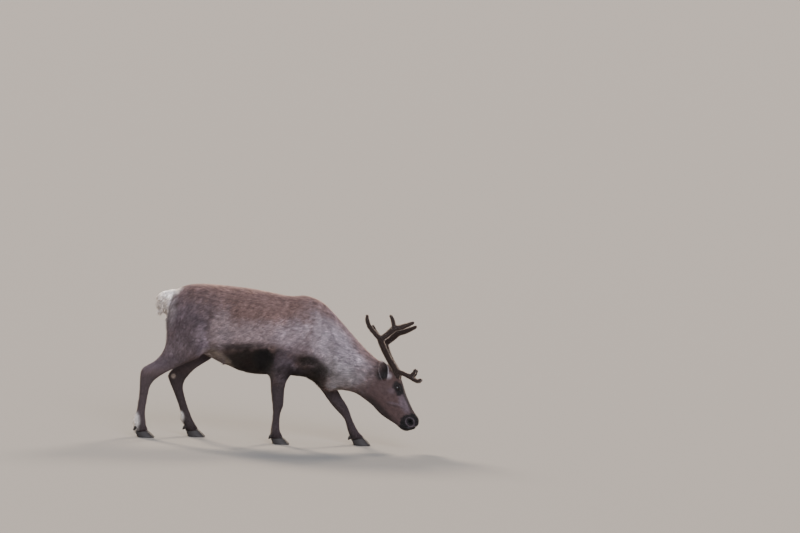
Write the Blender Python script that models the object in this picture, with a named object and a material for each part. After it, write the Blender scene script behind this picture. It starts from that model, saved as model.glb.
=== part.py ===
"""A reindeer at life size, standing still as it grazes, as a museum model.

Metres, +Z up, +X the way the animal faces and +Y its left side. The floor is Z = 0.
The trunk, neck and head are one loft and each leg is another. They are fused to one
body, shaped, and then parted with thin cuts. Antlers, ears, eyes, tail and hooves
are pieces of their own.
"""

import math
import random
from collections import namedtuple

import bmesh
import bpy
import numpy as np
from mathutils import Matrix, Vector

PART_GAP = 0.0004
BODY_VOXEL = 0.0065
BODY_TRIANGLES = 3300
HEAD_TRIANGLES = 1350
EYE_TRIANGLES = 560
EYE_RADIUS = 0.0185
EYE_CENTRE = Vector((0.7444, 0.0513, 0.3813))
EYE_LOOKS = Vector((0.36, 0.915, 0.17)).normalized()
NOSTRIL = Vector((0.835, 0.0420, 0.179))
HEAD_TURN = math.radians(-11)
HEAD_DORSAL = Vector((0.772, 0.0, 0.636))
FACE_AXIS = Vector((0.636, 0.0, -0.772))
NECK_PIVOT = Vector((0.42, 0.0, 0.52))
CLAW_SPLAY = math.radians(3)

# The coat's colours by region.
MATERIALS = {
    "coat_grey": ((0.23, 0.19, 0.17), 0.85),
    "coat_dark": ((0.075, 0.058, 0.052), 0.85),
    "coat_white": ((0.72, 0.67, 0.60), 0.9),
    "velvet": ((0.085, 0.058, 0.045), 0.95),
    "hoof_horn": ((0.03, 0.026, 0.024), 0.45),
    "eye_glass": ((0.012, 0.010, 0.010), 0.08),
}

Section = namedtuple("Section", "top bottom width widest crown keel")
Limb = namedtuple("Limb", "front back width")


def clear_scene():
    for obj in list(bpy.data.objects):
        bpy.data.objects.remove(obj, do_unlink=True)


def material(name):
    """The region's colour as a Principled material, made once."""
    found = bpy.data.materials.get(name)
    if found:
        return found
    colour, roughness = MATERIALS[name]
    made = bpy.data.materials.new(name)
    made.use_nodes = True
    shader = made.node_tree.nodes["Principled BSDF"]
    shader.inputs["Base Color"].default_value = (*colour, 1.0)
    shader.inputs["Roughness"].default_value = roughness
    shader.inputs["Metallic"].default_value = 0.0
    return made


# The trunk from rump to muzzle. Each section runs from a point on the back line to one
# on the belly line, with its half width, how far up its widest point is, and how square
# it is above and below: under 1 is boxy, over 1 is pinched.
TRUNK = (
    Section((-0.694, 0.872), (-0.704, 0.650), 0.080, 0.50, 0.85, 0.90),
    Section((-0.655, 0.922), (-0.655, 0.600), 0.105, 0.52, 0.80, 0.95),
    Section((-0.580, 0.956), (-0.580, 0.560), 0.126, 0.52, 0.78, 1.00),
    Section((-0.480, 0.966), (-0.480, 0.530), 0.139, 0.50, 0.76, 1.00),
    Section((-0.350, 0.962), (-0.350, 0.472), 0.153, 0.46, 0.85, 0.95),
    Section((-0.200, 0.953), (-0.200, 0.424), 0.167, 0.44, 0.92, 0.90),
    Section((-0.060, 0.934), (-0.060, 0.418), 0.163, 0.44, 1.00, 0.92),
    Section((0.050, 0.920), (0.050, 0.420), 0.146, 0.44, 1.10, 1.00),
    Section((0.150, 0.928), (0.150, 0.415), 0.134, 0.42, 1.20, 1.00),
    Section((0.240, 0.899), (0.235, 0.398), 0.126, 0.40, 1.20, 1.00),
    Section((0.310, 0.844), (0.310, 0.366), 0.115, 0.40, 1.15, 1.00),
    Section((0.375, 0.779), (0.372, 0.346), 0.105, 0.42, 1.10, 1.00),
    Section((0.440, 0.709), (0.422, 0.344), 0.096, 0.45, 1.05, 0.95),
    Section((0.505, 0.641), (0.460, 0.337), 0.090, 0.47, 1.00, 0.95),
    Section((0.565, 0.588), (0.492, 0.326), 0.084, 0.48, 0.98, 0.95),
    Section((0.622, 0.549), (0.524, 0.310), 0.079, 0.50, 0.92, 0.95),
    Section((0.678, 0.522), (0.556, 0.290), 0.076, 0.52, 0.80, 1.00),
    Section((0.728, 0.487), (0.590, 0.266), 0.076, 0.52, 0.72, 1.00),
    Section((0.761, 0.445), (0.620, 0.236), 0.074, 0.54, 0.66, 1.00),
    Section((0.781, 0.394), (0.650, 0.210), 0.069, 0.60, 0.66, 0.95),
    Section((0.799, 0.348), (0.682, 0.191), 0.057, 0.56, 0.72, 0.90),
    Section((0.822, 0.302), (0.714, 0.173), 0.047, 0.52, 0.80, 0.88),
    Section((0.845, 0.260), (0.742, 0.158), 0.0415, 0.52, 0.85, 0.85),
    Section((0.866, 0.230), (0.766, 0.138), 0.0420, 0.52, 0.80, 0.80),
    Section((0.882, 0.211), (0.790, 0.124), 0.0430, 0.50, 0.75, 0.80),
    Section((0.888, 0.188), (0.818, 0.123), 0.0390, 0.50, 0.75, 0.85),
    Section((0.882, 0.166), (0.842, 0.134), 0.0270, 0.50, 0.80, 0.90),
)

# Each leg from inside the trunk to below the coronet, by its front and back edge seen
# from the side, with its half width. The stance is the lateral place of its middle.
HIND_NEAR = (
    Limb((-0.460, 0.830), (-0.640, 0.850), 0.050),
    Limb((-0.430, 0.700), (-0.690, 0.740), 0.066),
    Limb((-0.437, 0.585), (-0.703, 0.645), 0.064),
    Limb((-0.478, 0.520), (-0.716, 0.575), 0.054),
    Limb((-0.550, 0.482), (-0.742, 0.520), 0.044),
    Limb((-0.625, 0.442), (-0.778, 0.480), 0.035),
    Limb((-0.692, 0.405), (-0.822, 0.455), 0.030),
    Limb((-0.752, 0.364), (-0.856, 0.425), 0.029),
    Limb((-0.783, 0.325), (-0.861, 0.370), 0.027),
    Limb((-0.795, 0.280), (-0.860, 0.300), 0.024),
    Limb((-0.804, 0.211), (-0.865, 0.218), 0.022),
    Limb((-0.809, 0.155), (-0.872, 0.160), 0.024),
    Limb((-0.806, 0.112), (-0.880, 0.112), 0.029),
    Limb((-0.800, 0.075), (-0.874, 0.070), 0.030),
    Limb((-0.790, 0.042), (-0.866, 0.030), 0.033),
    Limb((-0.788, 0.020), (-0.862, 0.008), 0.033),
)
HIND_FAR = (
    Limb((-0.430, 0.830), (-0.620, 0.850), 0.050),
    Limb((-0.395, 0.700), (-0.680, 0.740), 0.066),
    Limb((-0.383, 0.585), (-0.684, 0.640), 0.064),
    Limb((-0.402, 0.508), (-0.650, 0.560), 0.054),
    Limb((-0.450, 0.470), (-0.620, 0.497), 0.044),
    Limb((-0.510, 0.427), (-0.640, 0.446), 0.035),
    Limb((-0.551, 0.385), (-0.676, 0.411), 0.030),
    Limb((-0.578, 0.348), (-0.697, 0.373), 0.029),
    Limb((-0.588, 0.310), (-0.680, 0.330), 0.027),
    Limb((-0.580, 0.264), (-0.656, 0.277), 0.024),
    Limb((-0.560, 0.203), (-0.628, 0.213), 0.022),
    Limb((-0.541, 0.155), (-0.608, 0.160), 0.024),
    Limb((-0.523, 0.113), (-0.594, 0.110), 0.029),
    Limb((-0.503, 0.078), (-0.576, 0.070), 0.030),
    Limb((-0.483, 0.044), (-0.559, 0.030), 0.033),
    Limb((-0.477, 0.020), (-0.553, 0.008), 0.033),
)
FORE_NEAR = (
    Limb((0.205, 0.700), (-0.005, 0.730), 0.050),
    Limb((0.180, 0.590), (-0.070, 0.610), 0.060),
    Limb((0.130, 0.490), (-0.082, 0.500), 0.055),
    Limb((0.078, 0.425), (-0.060, 0.430), 0.045),
    Limb((0.052, 0.380), (-0.050, 0.385), 0.038),
    Limb((0.045, 0.330), (-0.046, 0.332), 0.034),
    Limb((0.044, 0.280), (-0.038, 0.282), 0.033),
    Limb((0.043, 0.240), (-0.032, 0.242), 0.032),
    Limb((0.029, 0.192), (-0.027, 0.196), 0.025),
    Limb((0.024, 0.140), (-0.028, 0.142), 0.023),
    Limb((0.028, 0.092), (-0.035, 0.092), 0.029),
    Limb((0.036, 0.064), (-0.034, 0.058), 0.030),
    Limb((0.048, 0.042), (-0.026, 0.030), 0.033),
    Limb((0.052, 0.020), (-0.022, 0.008), 0.033),
)
FORE_FAR = (
    Limb((0.250, 0.700), (0.030, 0.720), 0.050),
    Limb((0.290, 0.590), (0.060, 0.570), 0.060),
    Limb((0.312, 0.480), (0.120, 0.440), 0.055),
    Limb((0.332, 0.410), (0.200, 0.386), 0.045),
    Limb((0.358, 0.367), (0.258, 0.340), 0.038),
    Limb((0.380, 0.327), (0.300, 0.283), 0.034),
    Limb((0.407, 0.285), (0.337, 0.240), 0.033),
    Limb((0.433, 0.250), (0.364, 0.211), 0.032),
    Limb((0.455, 0.208), (0.400, 0.178), 0.025),
    Limb((0.474, 0.160), (0.424, 0.142), 0.023),
    Limb((0.498, 0.112), (0.440, 0.094), 0.029),
    Limb((0.522, 0.076), (0.456, 0.060), 0.030),
    Limb((0.546, 0.050), (0.474, 0.030), 0.033),
    Limb((0.552, 0.026), (0.480, 0.008), 0.033),
)

Leg = namedtuple("Leg", "name limbs side hip_stance foot_stance toe_x knee_cut fetlock_cut")
Cut = namedtuple("Cut", "front back reach")
LEGS = (
    Leg("hind_leg_right", HIND_NEAR, -1, 0.078, 0.090, -0.745,
        Cut((-0.757, 0.352), (-0.866, 0.436), 0.07), Cut((-0.79, 0.118), (-0.90, 0.118), 0.05)),
    Leg("hind_leg_left", HIND_FAR, 1, 0.078, 0.090, -0.437,
        Cut((-0.568, 0.338), (-0.714, 0.392), 0.07), Cut((-0.509, 0.122), (-0.619, 0.116), 0.05)),
    Leg("fore_leg_right", FORE_NEAR, -1, 0.080, 0.078, 0.092,
        Cut((0.06, 0.240), (-0.05, 0.242), 0.06), Cut((0.05, 0.098), (-0.06, 0.098), 0.05)),
    Leg("fore_leg_left", FORE_FAR, 1, 0.080, 0.080, 0.594,
        Cut((0.448, 0.258), (0.350, 0.203), 0.06), Cut((0.517, 0.122), (0.422, 0.086), 0.05)),
)
# Where each leg leaves the trunk, seen from the side.
UPPER_CUTS = {
    "hind_leg_right": Cut((-0.430, 0.502), (-0.760, 0.556), 0.10),
    "hind_leg_left": Cut((-0.350, 0.496), (-0.720, 0.560), 0.10),
    "fore_leg_right": Cut((0.085, 0.398), (-0.085, 0.402), 0.075),
    "fore_leg_left": Cut((0.415, 0.334), (0.235, 0.328), 0.070),
}
NECK_CUT = Cut((0.262, 0.915), (0.402, 0.326), 0.22)
POLL_CUT = Cut((0.650, 0.562), (0.492, 0.296), 0.13)

Stroke = namedtuple("Stroke", "place radius height")
# Swellings and hollows on the body, on both sides. A negative height is a hollow.
BODY_STROKES = (
    Stroke((-0.395, 0.125, 0.690), 0.110, -0.012),
    Stroke((-0.560, 0.130, 0.740), 0.120, 0.006),
    Stroke((-0.500, 0.105, 0.905), 0.075, 0.006),
    Stroke((-0.640, 0.100, 0.870), 0.060, 0.005),
    Stroke((-0.120, 0.145, 0.490), 0.120, -0.010),
    Stroke((0.010, 0.115, 0.610), 0.090, 0.009),
    Stroke((0.120, 0.095, 0.700), 0.100, 0.006),
    Stroke((0.190, 0.120, 0.560), 0.090, 0.007),
    Stroke((0.090, 0.090, 0.810), 0.110, -0.006),
    Stroke((0.275, 0.100, 0.620), 0.080, -0.007),
    Stroke((0.330, 0.070, 0.420), 0.060, -0.005),
)
# The face, on both sides: brow, cheek, tear pit, jaw, nose and chin.
FACE_STROKES = (
    Stroke((0.758, 0.060, 0.420), 0.034, 0.006),
    Stroke((0.640, 0.076, 0.330), 0.070, 0.007),
    Stroke((0.705, 0.070, 0.330), 0.040, -0.004),
    Stroke((0.776, 0.050, 0.345), 0.026, -0.0045),
    Stroke((0.750, 0.045, 0.235), 0.045, -0.003),
    Stroke((0.668, 0.078, 0.452), 0.036, 0.008),
    Stroke((0.795, 0.020, 0.130), 0.018, 0.002),
)
LIP_LINE = (
    (0.892, 0.168), (0.864, 0.150), (0.838, 0.1435), (0.812, 0.147), (0.790, 0.156), (0.771, 0.167),
)


def blend_rows(rows, place):
    """A smooth curve through the rows of numbers. The place runs from 0 to 1."""
    span = min(max(place, 0.0), 1.0) * (len(rows) - 1)
    index = min(int(span), len(rows) - 2)
    t = span - index
    before, here, there, after = (
        np.array(rows[min(max(index + step, 0), len(rows) - 1)]) for step in (-1, 0, 1, 2)
    )
    return 0.5 * (
        2 * here
        + (there - before) * t
        + (2 * before - 5 * here + 4 * there - after) * t * t
        + (3 * here - before - 3 * there + after) * t**3
    )


def squared(value, power):
    return math.copysign(abs(value) ** power, value)


def section_ring(row, angle, shrink):
    """A point on a section: row is top x, z, bottom x, z, middle y, width, widest, crown, keel."""
    top_x, top_z, bottom_x, bottom_z, middle_y, width, widest, crown, keel = row
    up, side = math.sin(angle), math.cos(angle)
    power = crown if up > 0 else keel
    lift = widest + (1 - widest if up > 0 else widest) * up
    lift = 0.5 + (lift - 0.5) * shrink
    return Vector((
        bottom_x + (top_x - bottom_x) * lift,
        middle_y + width * shrink * squared(side, power),
        bottom_z + (top_z - bottom_z) * lift,
    ))


def swept(point_at, along, around):
    """A closed skin over point_at(place 0 to 1, angle), from a grid rolled up and sewn."""
    mesh = bmesh.new()
    bmesh.ops.create_grid(mesh, x_segments=along, y_segments=around, size=0.5)
    for vert in mesh.verts:
        vert.co = point_at(vert.co.x + 0.5, (vert.co.y + 0.5) * 2 * math.pi)
    bmesh.ops.remove_doubles(mesh, verts=mesh.verts, dist=1e-6)
    return facing_out(mesh)


def facing_out(mesh):
    """Turns every face of a closed mesh outwards."""
    bmesh.ops.recalc_face_normals(mesh, faces=mesh.faces)
    if mesh.calc_volume(signed=True) < 0:
        bmesh.ops.reverse_faces(mesh, faces=mesh.faces)
    return mesh


def lofted(rows, along, around, end_depths):
    """A loft through the rows, each end closed by a dome of the given depth."""
    share = 0.08

    def point_at(place, angle):
        inside = (place - share) / (1 - 2 * share)
        row = blend_rows(rows, inside)
        if 0 <= inside <= 1:
            return section_ring(row, angle, 1.0)
        first = inside < 0
        turn = min(1.0, (share - place if first else place - 1 + share) / share) * math.pi / 2
        rim, core = section_ring(row, angle, math.cos(turn)), section_ring(row, angle, 0.0)
        inner = section_ring(blend_rows(rows, 0.03 if first else 0.97), angle, 0.0)
        outward = (core - inner).normalized()
        return rim + outward * end_depths[0 if first else 1] * math.sin(turn)

    return swept(point_at, along, around)


def trunk_rows():
    return [
        (s.top[0], s.top[1], s.bottom[0], s.bottom[1], 0.0, s.width, s.widest, s.crown, s.keel)
        for s in TRUNK
    ]


def leg_rows(leg):
    """A leg's rows, with its middle going from the hip's stance to the foot's."""
    rows = []
    for index, limb in enumerate(leg.limbs):
        share = min(1.0, index / 5)
        middle = leg.side * (leg.hip_stance + (leg.foot_stance - leg.hip_stance) * share)
        rows.append((*limb.front, *limb.back, middle, limb.width, 0.5, 0.95, 0.95))
    return rows


def object_from(mesh, name):
    data = bpy.data.meshes.new(name)
    mesh.to_mesh(data)
    mesh.free()
    obj = bpy.data.objects.new(name, data)
    bpy.context.scene.collection.objects.link(obj)
    return obj


def apply_modifiers(obj):
    graph = bpy.context.evaluated_depsgraph_get()
    data = bpy.data.meshes.new_from_object(obj.evaluated_get(graph))
    obj.modifiers.clear()
    obj.data = data
    return obj


def joined(meshes, name):
    """One object that holds all of the meshes, still as separate shells."""
    whole = bmesh.new()
    for mesh in meshes:
        data = bpy.data.meshes.new("shell")
        mesh.to_mesh(data)
        mesh.free()
        whole.from_mesh(data)
        bpy.data.meshes.remove(data)
    return object_from(whole, name)


def fused_body():
    """Trunk and legs as one skin, with the folds where they meet rounded over."""
    shells = [lofted(trunk_rows(), 150, 56, (0.012, 0.006))]
    shells += [lofted(leg_rows(leg), 90, 32, (0.02, 0.001)) for leg in LEGS]
    body = joined(shells, "body")
    remesh = body.modifiers.new("fuse", "REMESH")
    remesh.mode = "VOXEL"
    remesh.voxel_size = BODY_VOXEL
    apply_modifiers(body)
    folds = body.vertex_groups.new(name="folds")
    for vert in body.data.vertices:
        folds.add([vert.index], fold_weight(vert.co), "REPLACE")
    soften(body, 34, "folds")
    soften(body, 2, "")
    return body


def fold_weight(point):
    """How much a place is rounded over: most where the legs leave the trunk."""
    height = smooth_step(0.36, 0.46, point.z) * smooth_step(0.86, 0.76, point.z)
    return 0.06 + 0.94 * height * smooth_step(0.47, 0.36, point.x)


def smooth_step(low, high, value):
    t = min(max((value - low) / (high - low), 0.0), 1.0)
    return t * t * (3 - 2 * t)


def soften(obj, times, group):
    smooth = obj.modifiers.new("soften", "SMOOTH")
    smooth.factor = 0.5
    smooth.iterations = times
    smooth.vertex_group = group
    apply_modifiers(obj)


def refine(obj, holds):
    """Splits each face whose middle the test holds, for finer detail there."""
    mesh = bmesh.new()
    mesh.from_mesh(obj.data)
    faces = [face for face in mesh.faces if holds(face.calc_center_median())]
    edges = list({edge for face in faces for edge in face.edges})
    bmesh.ops.subdivide_edges(mesh, edges=edges, cuts=1, use_grid_fill=True)
    bmesh.ops.triangulate(mesh, faces=[face for face in mesh.faces if len(face.verts) > 4])
    mesh.to_mesh(obj.data)
    mesh.free()


def in_head(point):
    return point.x + 0.62 * point.z > 0.90 and point.x > 0.56


def near_feature(point):
    mirrored = Vector((point.x, abs(point.y), point.z))
    at_eye = (mirrored - EYE_CENTRE).length < 0.036
    at_nostril = (mirrored - NOSTRIL).length < 0.030
    at_lips = point.x > 0.76 and 0.132 < point.z < 0.180
    return at_eye or at_nostril or at_lips


def near_eye(point):
    """Whether a point of the turned head is at the rim of an eye."""
    return any((point - eye_centre(side)).length < 0.031 for side in (1, -1))


def points_and_normals(data):
    points = np.empty(len(data.vertices) * 3)
    normals = np.empty(len(data.vertices) * 3)
    data.vertices.foreach_get("co", points)
    data.vertex_normals.foreach_get("vector", normals)
    return points.reshape(-1, 3), normals.reshape(-1, 3)


def store_points(data, points):
    data.vertices.foreach_set("co", points.ravel())
    data.update()


def dome(distance, radius):
    """A soft bump's share at each distance: 1 in the middle, 0 at the radius."""
    return np.clip(1 - (distance / radius) ** 2, 0, None) ** 2


def stroke_all(data, strokes):
    points, normals = points_and_normals(data)
    mirrored = points * (1, 0, 1) + np.abs(points) * (0, 1, 0)
    moved = np.zeros(len(points))
    for stroke in strokes:
        distance = np.linalg.norm(mirrored - np.array(stroke.place), axis=1)
        moved += dome(distance, stroke.radius) * stroke.height
    store_points(data, points + normals * moved[:, None])


def line_distance(points, line):
    """The distance of each point, seen from the side, to a line of points."""
    best = np.full(len(points), 1e9)
    for start, end in zip(line, line[1:]):
        a, along = np.array(start), np.array(end) - np.array(start)
        share = np.clip(((points - a) @ along) / (along @ along), 0, 1)
        best = np.minimum(best, np.linalg.norm(points - a - share[:, None] * along, axis=1))
    return best


def shape_mouth(data):
    """The groove between the lips, with a lip swelling over and under it."""
    points, normals = points_and_normals(data)
    distance = line_distance(points[:, [0, 2]], LIP_LINE)
    moved = -0.0045 * dome(distance, 0.0045) + 0.0022 * dome(distance, 0.013)
    moved *= np.clip((points[:, 0] - 0.763) / 0.01, 0, 1)
    store_points(data, points + normals * moved[:, None])


def shape_nostrils(data):
    """A deep comma of an opening with a raised rim, on each side of the nose."""
    points, normals = points_and_normals(data)
    mirrored = points * (1, 0, 1) + np.abs(points) * (0, 1, 0)
    local = mirrored - np.array(NOSTRIL)
    slanted = local @ np.array((0.62, 0.0, -0.78))
    across = np.linalg.norm(local - slanted[:, None] * np.array((0.62, 0.0, -0.78)), axis=1)
    distance = np.hypot(slanted / 1.15, across)
    moved = -0.020 * dome(distance, 0.0155) + 0.0034 * dome(np.abs(distance - 0.0175), 0.009)
    store_points(data, points + normals * moved[:, None])


def dome_height(radial, radius):
    """The height of a ball over its middle plane, and far below it beyond its rim."""
    inside = np.sqrt(np.clip(radius**2 - radial**2, 0, None))
    return inside - 3.0 * np.clip(radial - radius, 0, None)


def shape_eyes(data):
    """Lids that lie over the eyeball and leave an almond open, on both sides."""
    points, _ = points_and_normals(data)
    for side in (1, -1):
        centre = np.array((EYE_CENTRE.x, side * EYE_CENTRE.y, EYE_CENTRE.z))
        out = np.array((EYE_LOOKS.x, side * EYE_LOOKS.y, EYE_LOOKS.z))
        slit = np.array((0.60, 0.0, -0.80))
        slit = slit - out * (slit @ out)
        slit /= np.linalg.norm(slit)
        up = np.cross(out, slit) * side
        local = points - centre
        along, across, height = local @ slit, local @ up, local @ out
        radial = np.hypot(along, across)
        almond = (np.abs(along) / 0.0150) ** 1.6 + (np.abs(across) / 0.0092) ** 1.6
        shut = np.clip((almond - 0.85) / 0.35, 0, 1)
        lid = dome_height(radial, EYE_RADIUS + 0.0026 + 0.0008 * (across > 0))
        bare = dome_height(radial, EYE_RADIUS) - 0.0030
        closed = np.logaddexp(height * 500, lid * 500) / 500
        target = closed * shut + np.minimum(height, bare) * (1 - shut)
        near = (radial < EYE_RADIUS * 1.35) & (height > -0.02)
        points = points + ((target - height) * near)[:, None] * out
    store_points(data, points)


def turned(point, share=1.0):
    """The point with the given share of the head's turn to the right.

    The face is lengthened as it turns, so that its outline from the side stays the same.
    """
    local = Vector(point) - NECK_PIVOT
    local += FACE_AXIS * local.dot(FACE_AXIS) * (1 / math.cos(HEAD_TURN * share) - 1)
    return NECK_PIVOT + Matrix.Rotation(HEAD_TURN * share, 3, HEAD_DORSAL) @ local


def turned_way(way):
    """A direction on the straight head, turned with it."""
    return Matrix.Rotation(HEAD_TURN, 3, HEAD_DORSAL) @ Vector(way)


def on_head(point, side):
    """A point given as seen on the turned head's right side, or its mirror image on the left."""
    x, y, z = point
    sideways = turned_way((0, y, 0))
    return turned((x - sideways.x, -side * y, z - sideways.z))


def turn_share(point):
    """0 at the foot of the neck and 1 from the poll on, and 0 on the forelegs under it."""
    if point.z < 0.33 - 0.724 * (point.x - 0.43):
        return 0.0
    return smooth_step(0.36, 0.64, point.x + 0.35 * (0.45 - point.z))


def turn_head(data):
    for vert in data.vertices:
        share = turn_share(vert.co)
        if share > 0:
            vert.co = turned(vert.co, share)
    data.update()


def thin_out(obj, holds, triangles):
    """Reduces the faces whose place the test holds to about this many triangles."""
    mesh = bmesh.new()
    mesh.from_mesh(obj.data)
    bmesh.ops.triangulate(mesh, faces=mesh.faces)
    inside = sum(holds(face.calc_center_median()) for face in mesh.faces)
    total = len(mesh.faces)
    mesh.to_mesh(obj.data)
    mesh.free()
    obj.vertex_groups.clear()
    spare = obj.vertex_groups.new(name="spare")
    for vert in obj.data.vertices:
        spare.add([vert.index], 1.0 if holds(vert.co) else 0.0, "REPLACE")
    reduce = obj.modifiers.new("reduce", "DECIMATE")
    reduce.ratio = (total - inside + triangles) / total
    reduce.vertex_group = "spare"
    reduce.vertex_group_factor = 1000.0
    reduce.use_collapse_triangulate = True
    apply_modifiers(obj)


def slab(cut, low_y, high_y, head_turn=0.0, spare=0.0):
    """A thin box from the cut's front point to its back point, as a cutter."""
    mesh = bmesh.new()
    bmesh.ops.create_cube(mesh, size=1.0)
    front, back = Vector((cut.front[0], 0, cut.front[1])), Vector((cut.back[0], 0, cut.back[1]))
    middle = (front + back) / 2 + Vector((0, (low_y + high_y) / 2, 0))
    along = (front - back).normalized()
    side = Vector((0, 1, 0))
    normal = along.cross(side)
    size = ((front - back).length + 2 * spare, high_y - low_y, PART_GAP)
    for vert in mesh.verts:
        x, y, z = vert.co * Vector(size)
        vert.co = turned(middle + along * x + side * y + normal * z, head_turn)
    return facing_out(mesh)


def all_slabs():
    cutters = [
        slab(NECK_CUT, -0.20, 0.20, spare=0.01),
        slab(POLL_CUT, -0.14, 0.14, head_turn=1.0, spare=0.03),
    ]
    for leg in LEGS:
        for cut in (UPPER_CUTS[leg.name], leg.knee_cut, leg.fetlock_cut, coronet_cut(leg)):
            middle = leg.side * (leg.foot_stance if cut.reach < 0.07 else leg.hip_stance)
            low, high = middle - cut.reach, middle + cut.reach
            if leg.side > 0:
                low = max(low, 0.022)
            else:
                high = min(high, -0.022)
            cutters.append(slab(cut, low, high))
    return cutters


def coronet_cut(leg):
    """Where the hooves begin: a plane through the second last row, a little longer than it."""
    front, back = Vector(leg.limbs[-2].front), Vector(leg.limbs[-2].back)
    longer = (front - back) * 0.3
    return Cut(tuple(front + longer), tuple(back - longer), 0.055)


def boolean(obj, operation, cutters):
    """Applies one exact Boolean on a collection of the given meshes, then removes them."""
    group = bpy.data.collections.new("cutters")
    bpy.context.scene.collection.children.link(group)
    for mesh in cutters:
        cutter = object_from(mesh, "cutter")
        bpy.context.scene.collection.objects.unlink(cutter)
        group.objects.link(cutter)
    modifier = obj.modifiers.new("boolean", "BOOLEAN")
    modifier.operation = operation
    modifier.operand_type = "COLLECTION"
    modifier.collection = group
    modifier.solver = "EXACT"
    apply_modifiers(obj)
    for cutter in list(group.objects):
        bpy.data.objects.remove(cutter)
    bpy.data.collections.remove(group)


def islands(obj):
    """The object's closed surfaces, each as its own bmesh, largest first."""
    whole = bmesh.new()
    whole.from_mesh(obj.data)
    seen, groups = set(), []
    for start in whole.verts:
        if start.index in seen:
            continue
        seen.add(start.index)
        stack, group = [start], []
        while stack:
            vert = stack.pop()
            group.append(vert.index)
            for edge in vert.link_edges:
                other = edge.other_vert(vert)
                if other.index not in seen:
                    seen.add(other.index)
                    stack.append(other)
        groups.append(set(group))
    pieces = []
    for group in sorted(groups, key=len, reverse=True):
        piece = whole.copy()
        bmesh.ops.delete(piece, geom=[v for v in piece.verts if v.index not in group], context="VERTS")
        pieces.append(piece)
    whole.free()
    return pieces


def keep_largest(obj):
    pieces = islands(obj)
    pieces[0].to_mesh(obj.data)
    for piece in pieces:
        piece.free()
    return obj


def piece_at(pieces, place):
    """The smallest of the pieces whose bounding box holds the place."""
    found, least = None, math.inf
    for piece in pieces:
        points = np.array([vert.co for vert in piece.verts])
        low, high = points.min(0), points.max(0)
        size = float(np.prod(high - low))
        if (low < place).all() and (place < high).all() and size < least:
            found, least = piece, size
    return found


def finish(obj, name, slot):
    obj.name = name
    obj.data.name = name
    obj.data.materials.clear()
    obj.data.materials.append(material(slot))
    obj.data.shade_smooth()
    obj.data.set_sharp_from_angle(angle=math.radians(50))
    return obj


# A place inside each piece of the parted body, by which it gets its name.
def body_places():
    places = {
        "torso": (Vector((-0.15, 0, 0.68)), "coat_grey"),
        "neck": (turned((0.48, 0, 0.52), 0.4), "coat_grey"),
        "head": (turned((0.74, 0, 0.30)), "coat_grey"),
    }
    for leg in LEGS:
        cuts = (UPPER_CUTS[leg.name], leg.knee_cut, leg.fetlock_cut, coronet_cut(leg))
        for part, upper, lower in zip(("upper", "cannon", "foot"), cuts, cuts[1:]):
            x, z = (sum(numbers) / 4 for numbers in zip(*upper[:2], *lower[:2]))
            places[leg.name + "_" + part] = (Vector((x, leg.side * leg.foot_stance, z)), "coat_dark")
    return places


def part_body(body):
    """Cuts the body along the slabs and names each piece by its place."""
    boolean(body, "DIFFERENCE", all_slabs())
    pieces = islands(body)
    bpy.data.objects.remove(body)
    made = {}
    for name, (place, slot) in body_places().items():
        piece = piece_at(pieces, np.array(place))
        pieces.remove(piece)
        made[name] = finish(object_from(piece, name), name, slot)
    for piece in pieces:
        piece.free()
    return made


# Locks of long hair.
def lock(root, lie, face, length, width, thickness, droop):
    """A flat, tapered lock from its root along its lie, bending by droop at the tip."""
    lie, face = Vector(lie).normalized(), Vector(face).normalized()
    side = lie.cross(face).normalized()
    face = side.cross(lie)

    def point_at(place, angle):
        swell = math.sin(math.pi * min(1.0, 0.30 + 0.70 * place)) ** 0.8 if 0 < place < 1 else 0
        bend = Vector(droop) * place * place
        return (
            Vector(root) + lie * length * place + bend
            + side * math.cos(angle) * width / 2 * swell
            + face * math.sin(angle) * thickness / 2 * swell
        )

    return swept(point_at, 4, 4)


def spread(rng, amount):
    return Vector((rng.uniform(-amount, amount) for _ in range(3)))


def fringe_locks():
    """The pale hair that hangs at the foot of the neck, in rows that overlap."""
    rng = random.Random(11)
    under = [(0.285, 0.402), (0.318, 0.388), (0.348, 0.378), (0.370, 0.372)]
    locks = []
    for row in range(5):
        for index in range(4):
            x, z = blend_rows(under, (index + 0.5 * (row % 2)) / 3.5)
            y = (row - 2) * 0.022 + rng.uniform(-0.004, 0.004)
            lie = Vector((-0.85, y * 2.0, -0.75)) + spread(rng, 0.08)
            length = 0.070 - 0.25 * abs(y) + rng.uniform(-0.006, 0.006)
            face = (0.0, 1 if row >= 2 else -1, 0.5)
            root = (x + 0.012, y, z + 6 * y * y)
            locks.append(lock(root, lie, face, length, 0.030, 0.018, (0.004, 0, -0.010)))
    return locks


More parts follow.
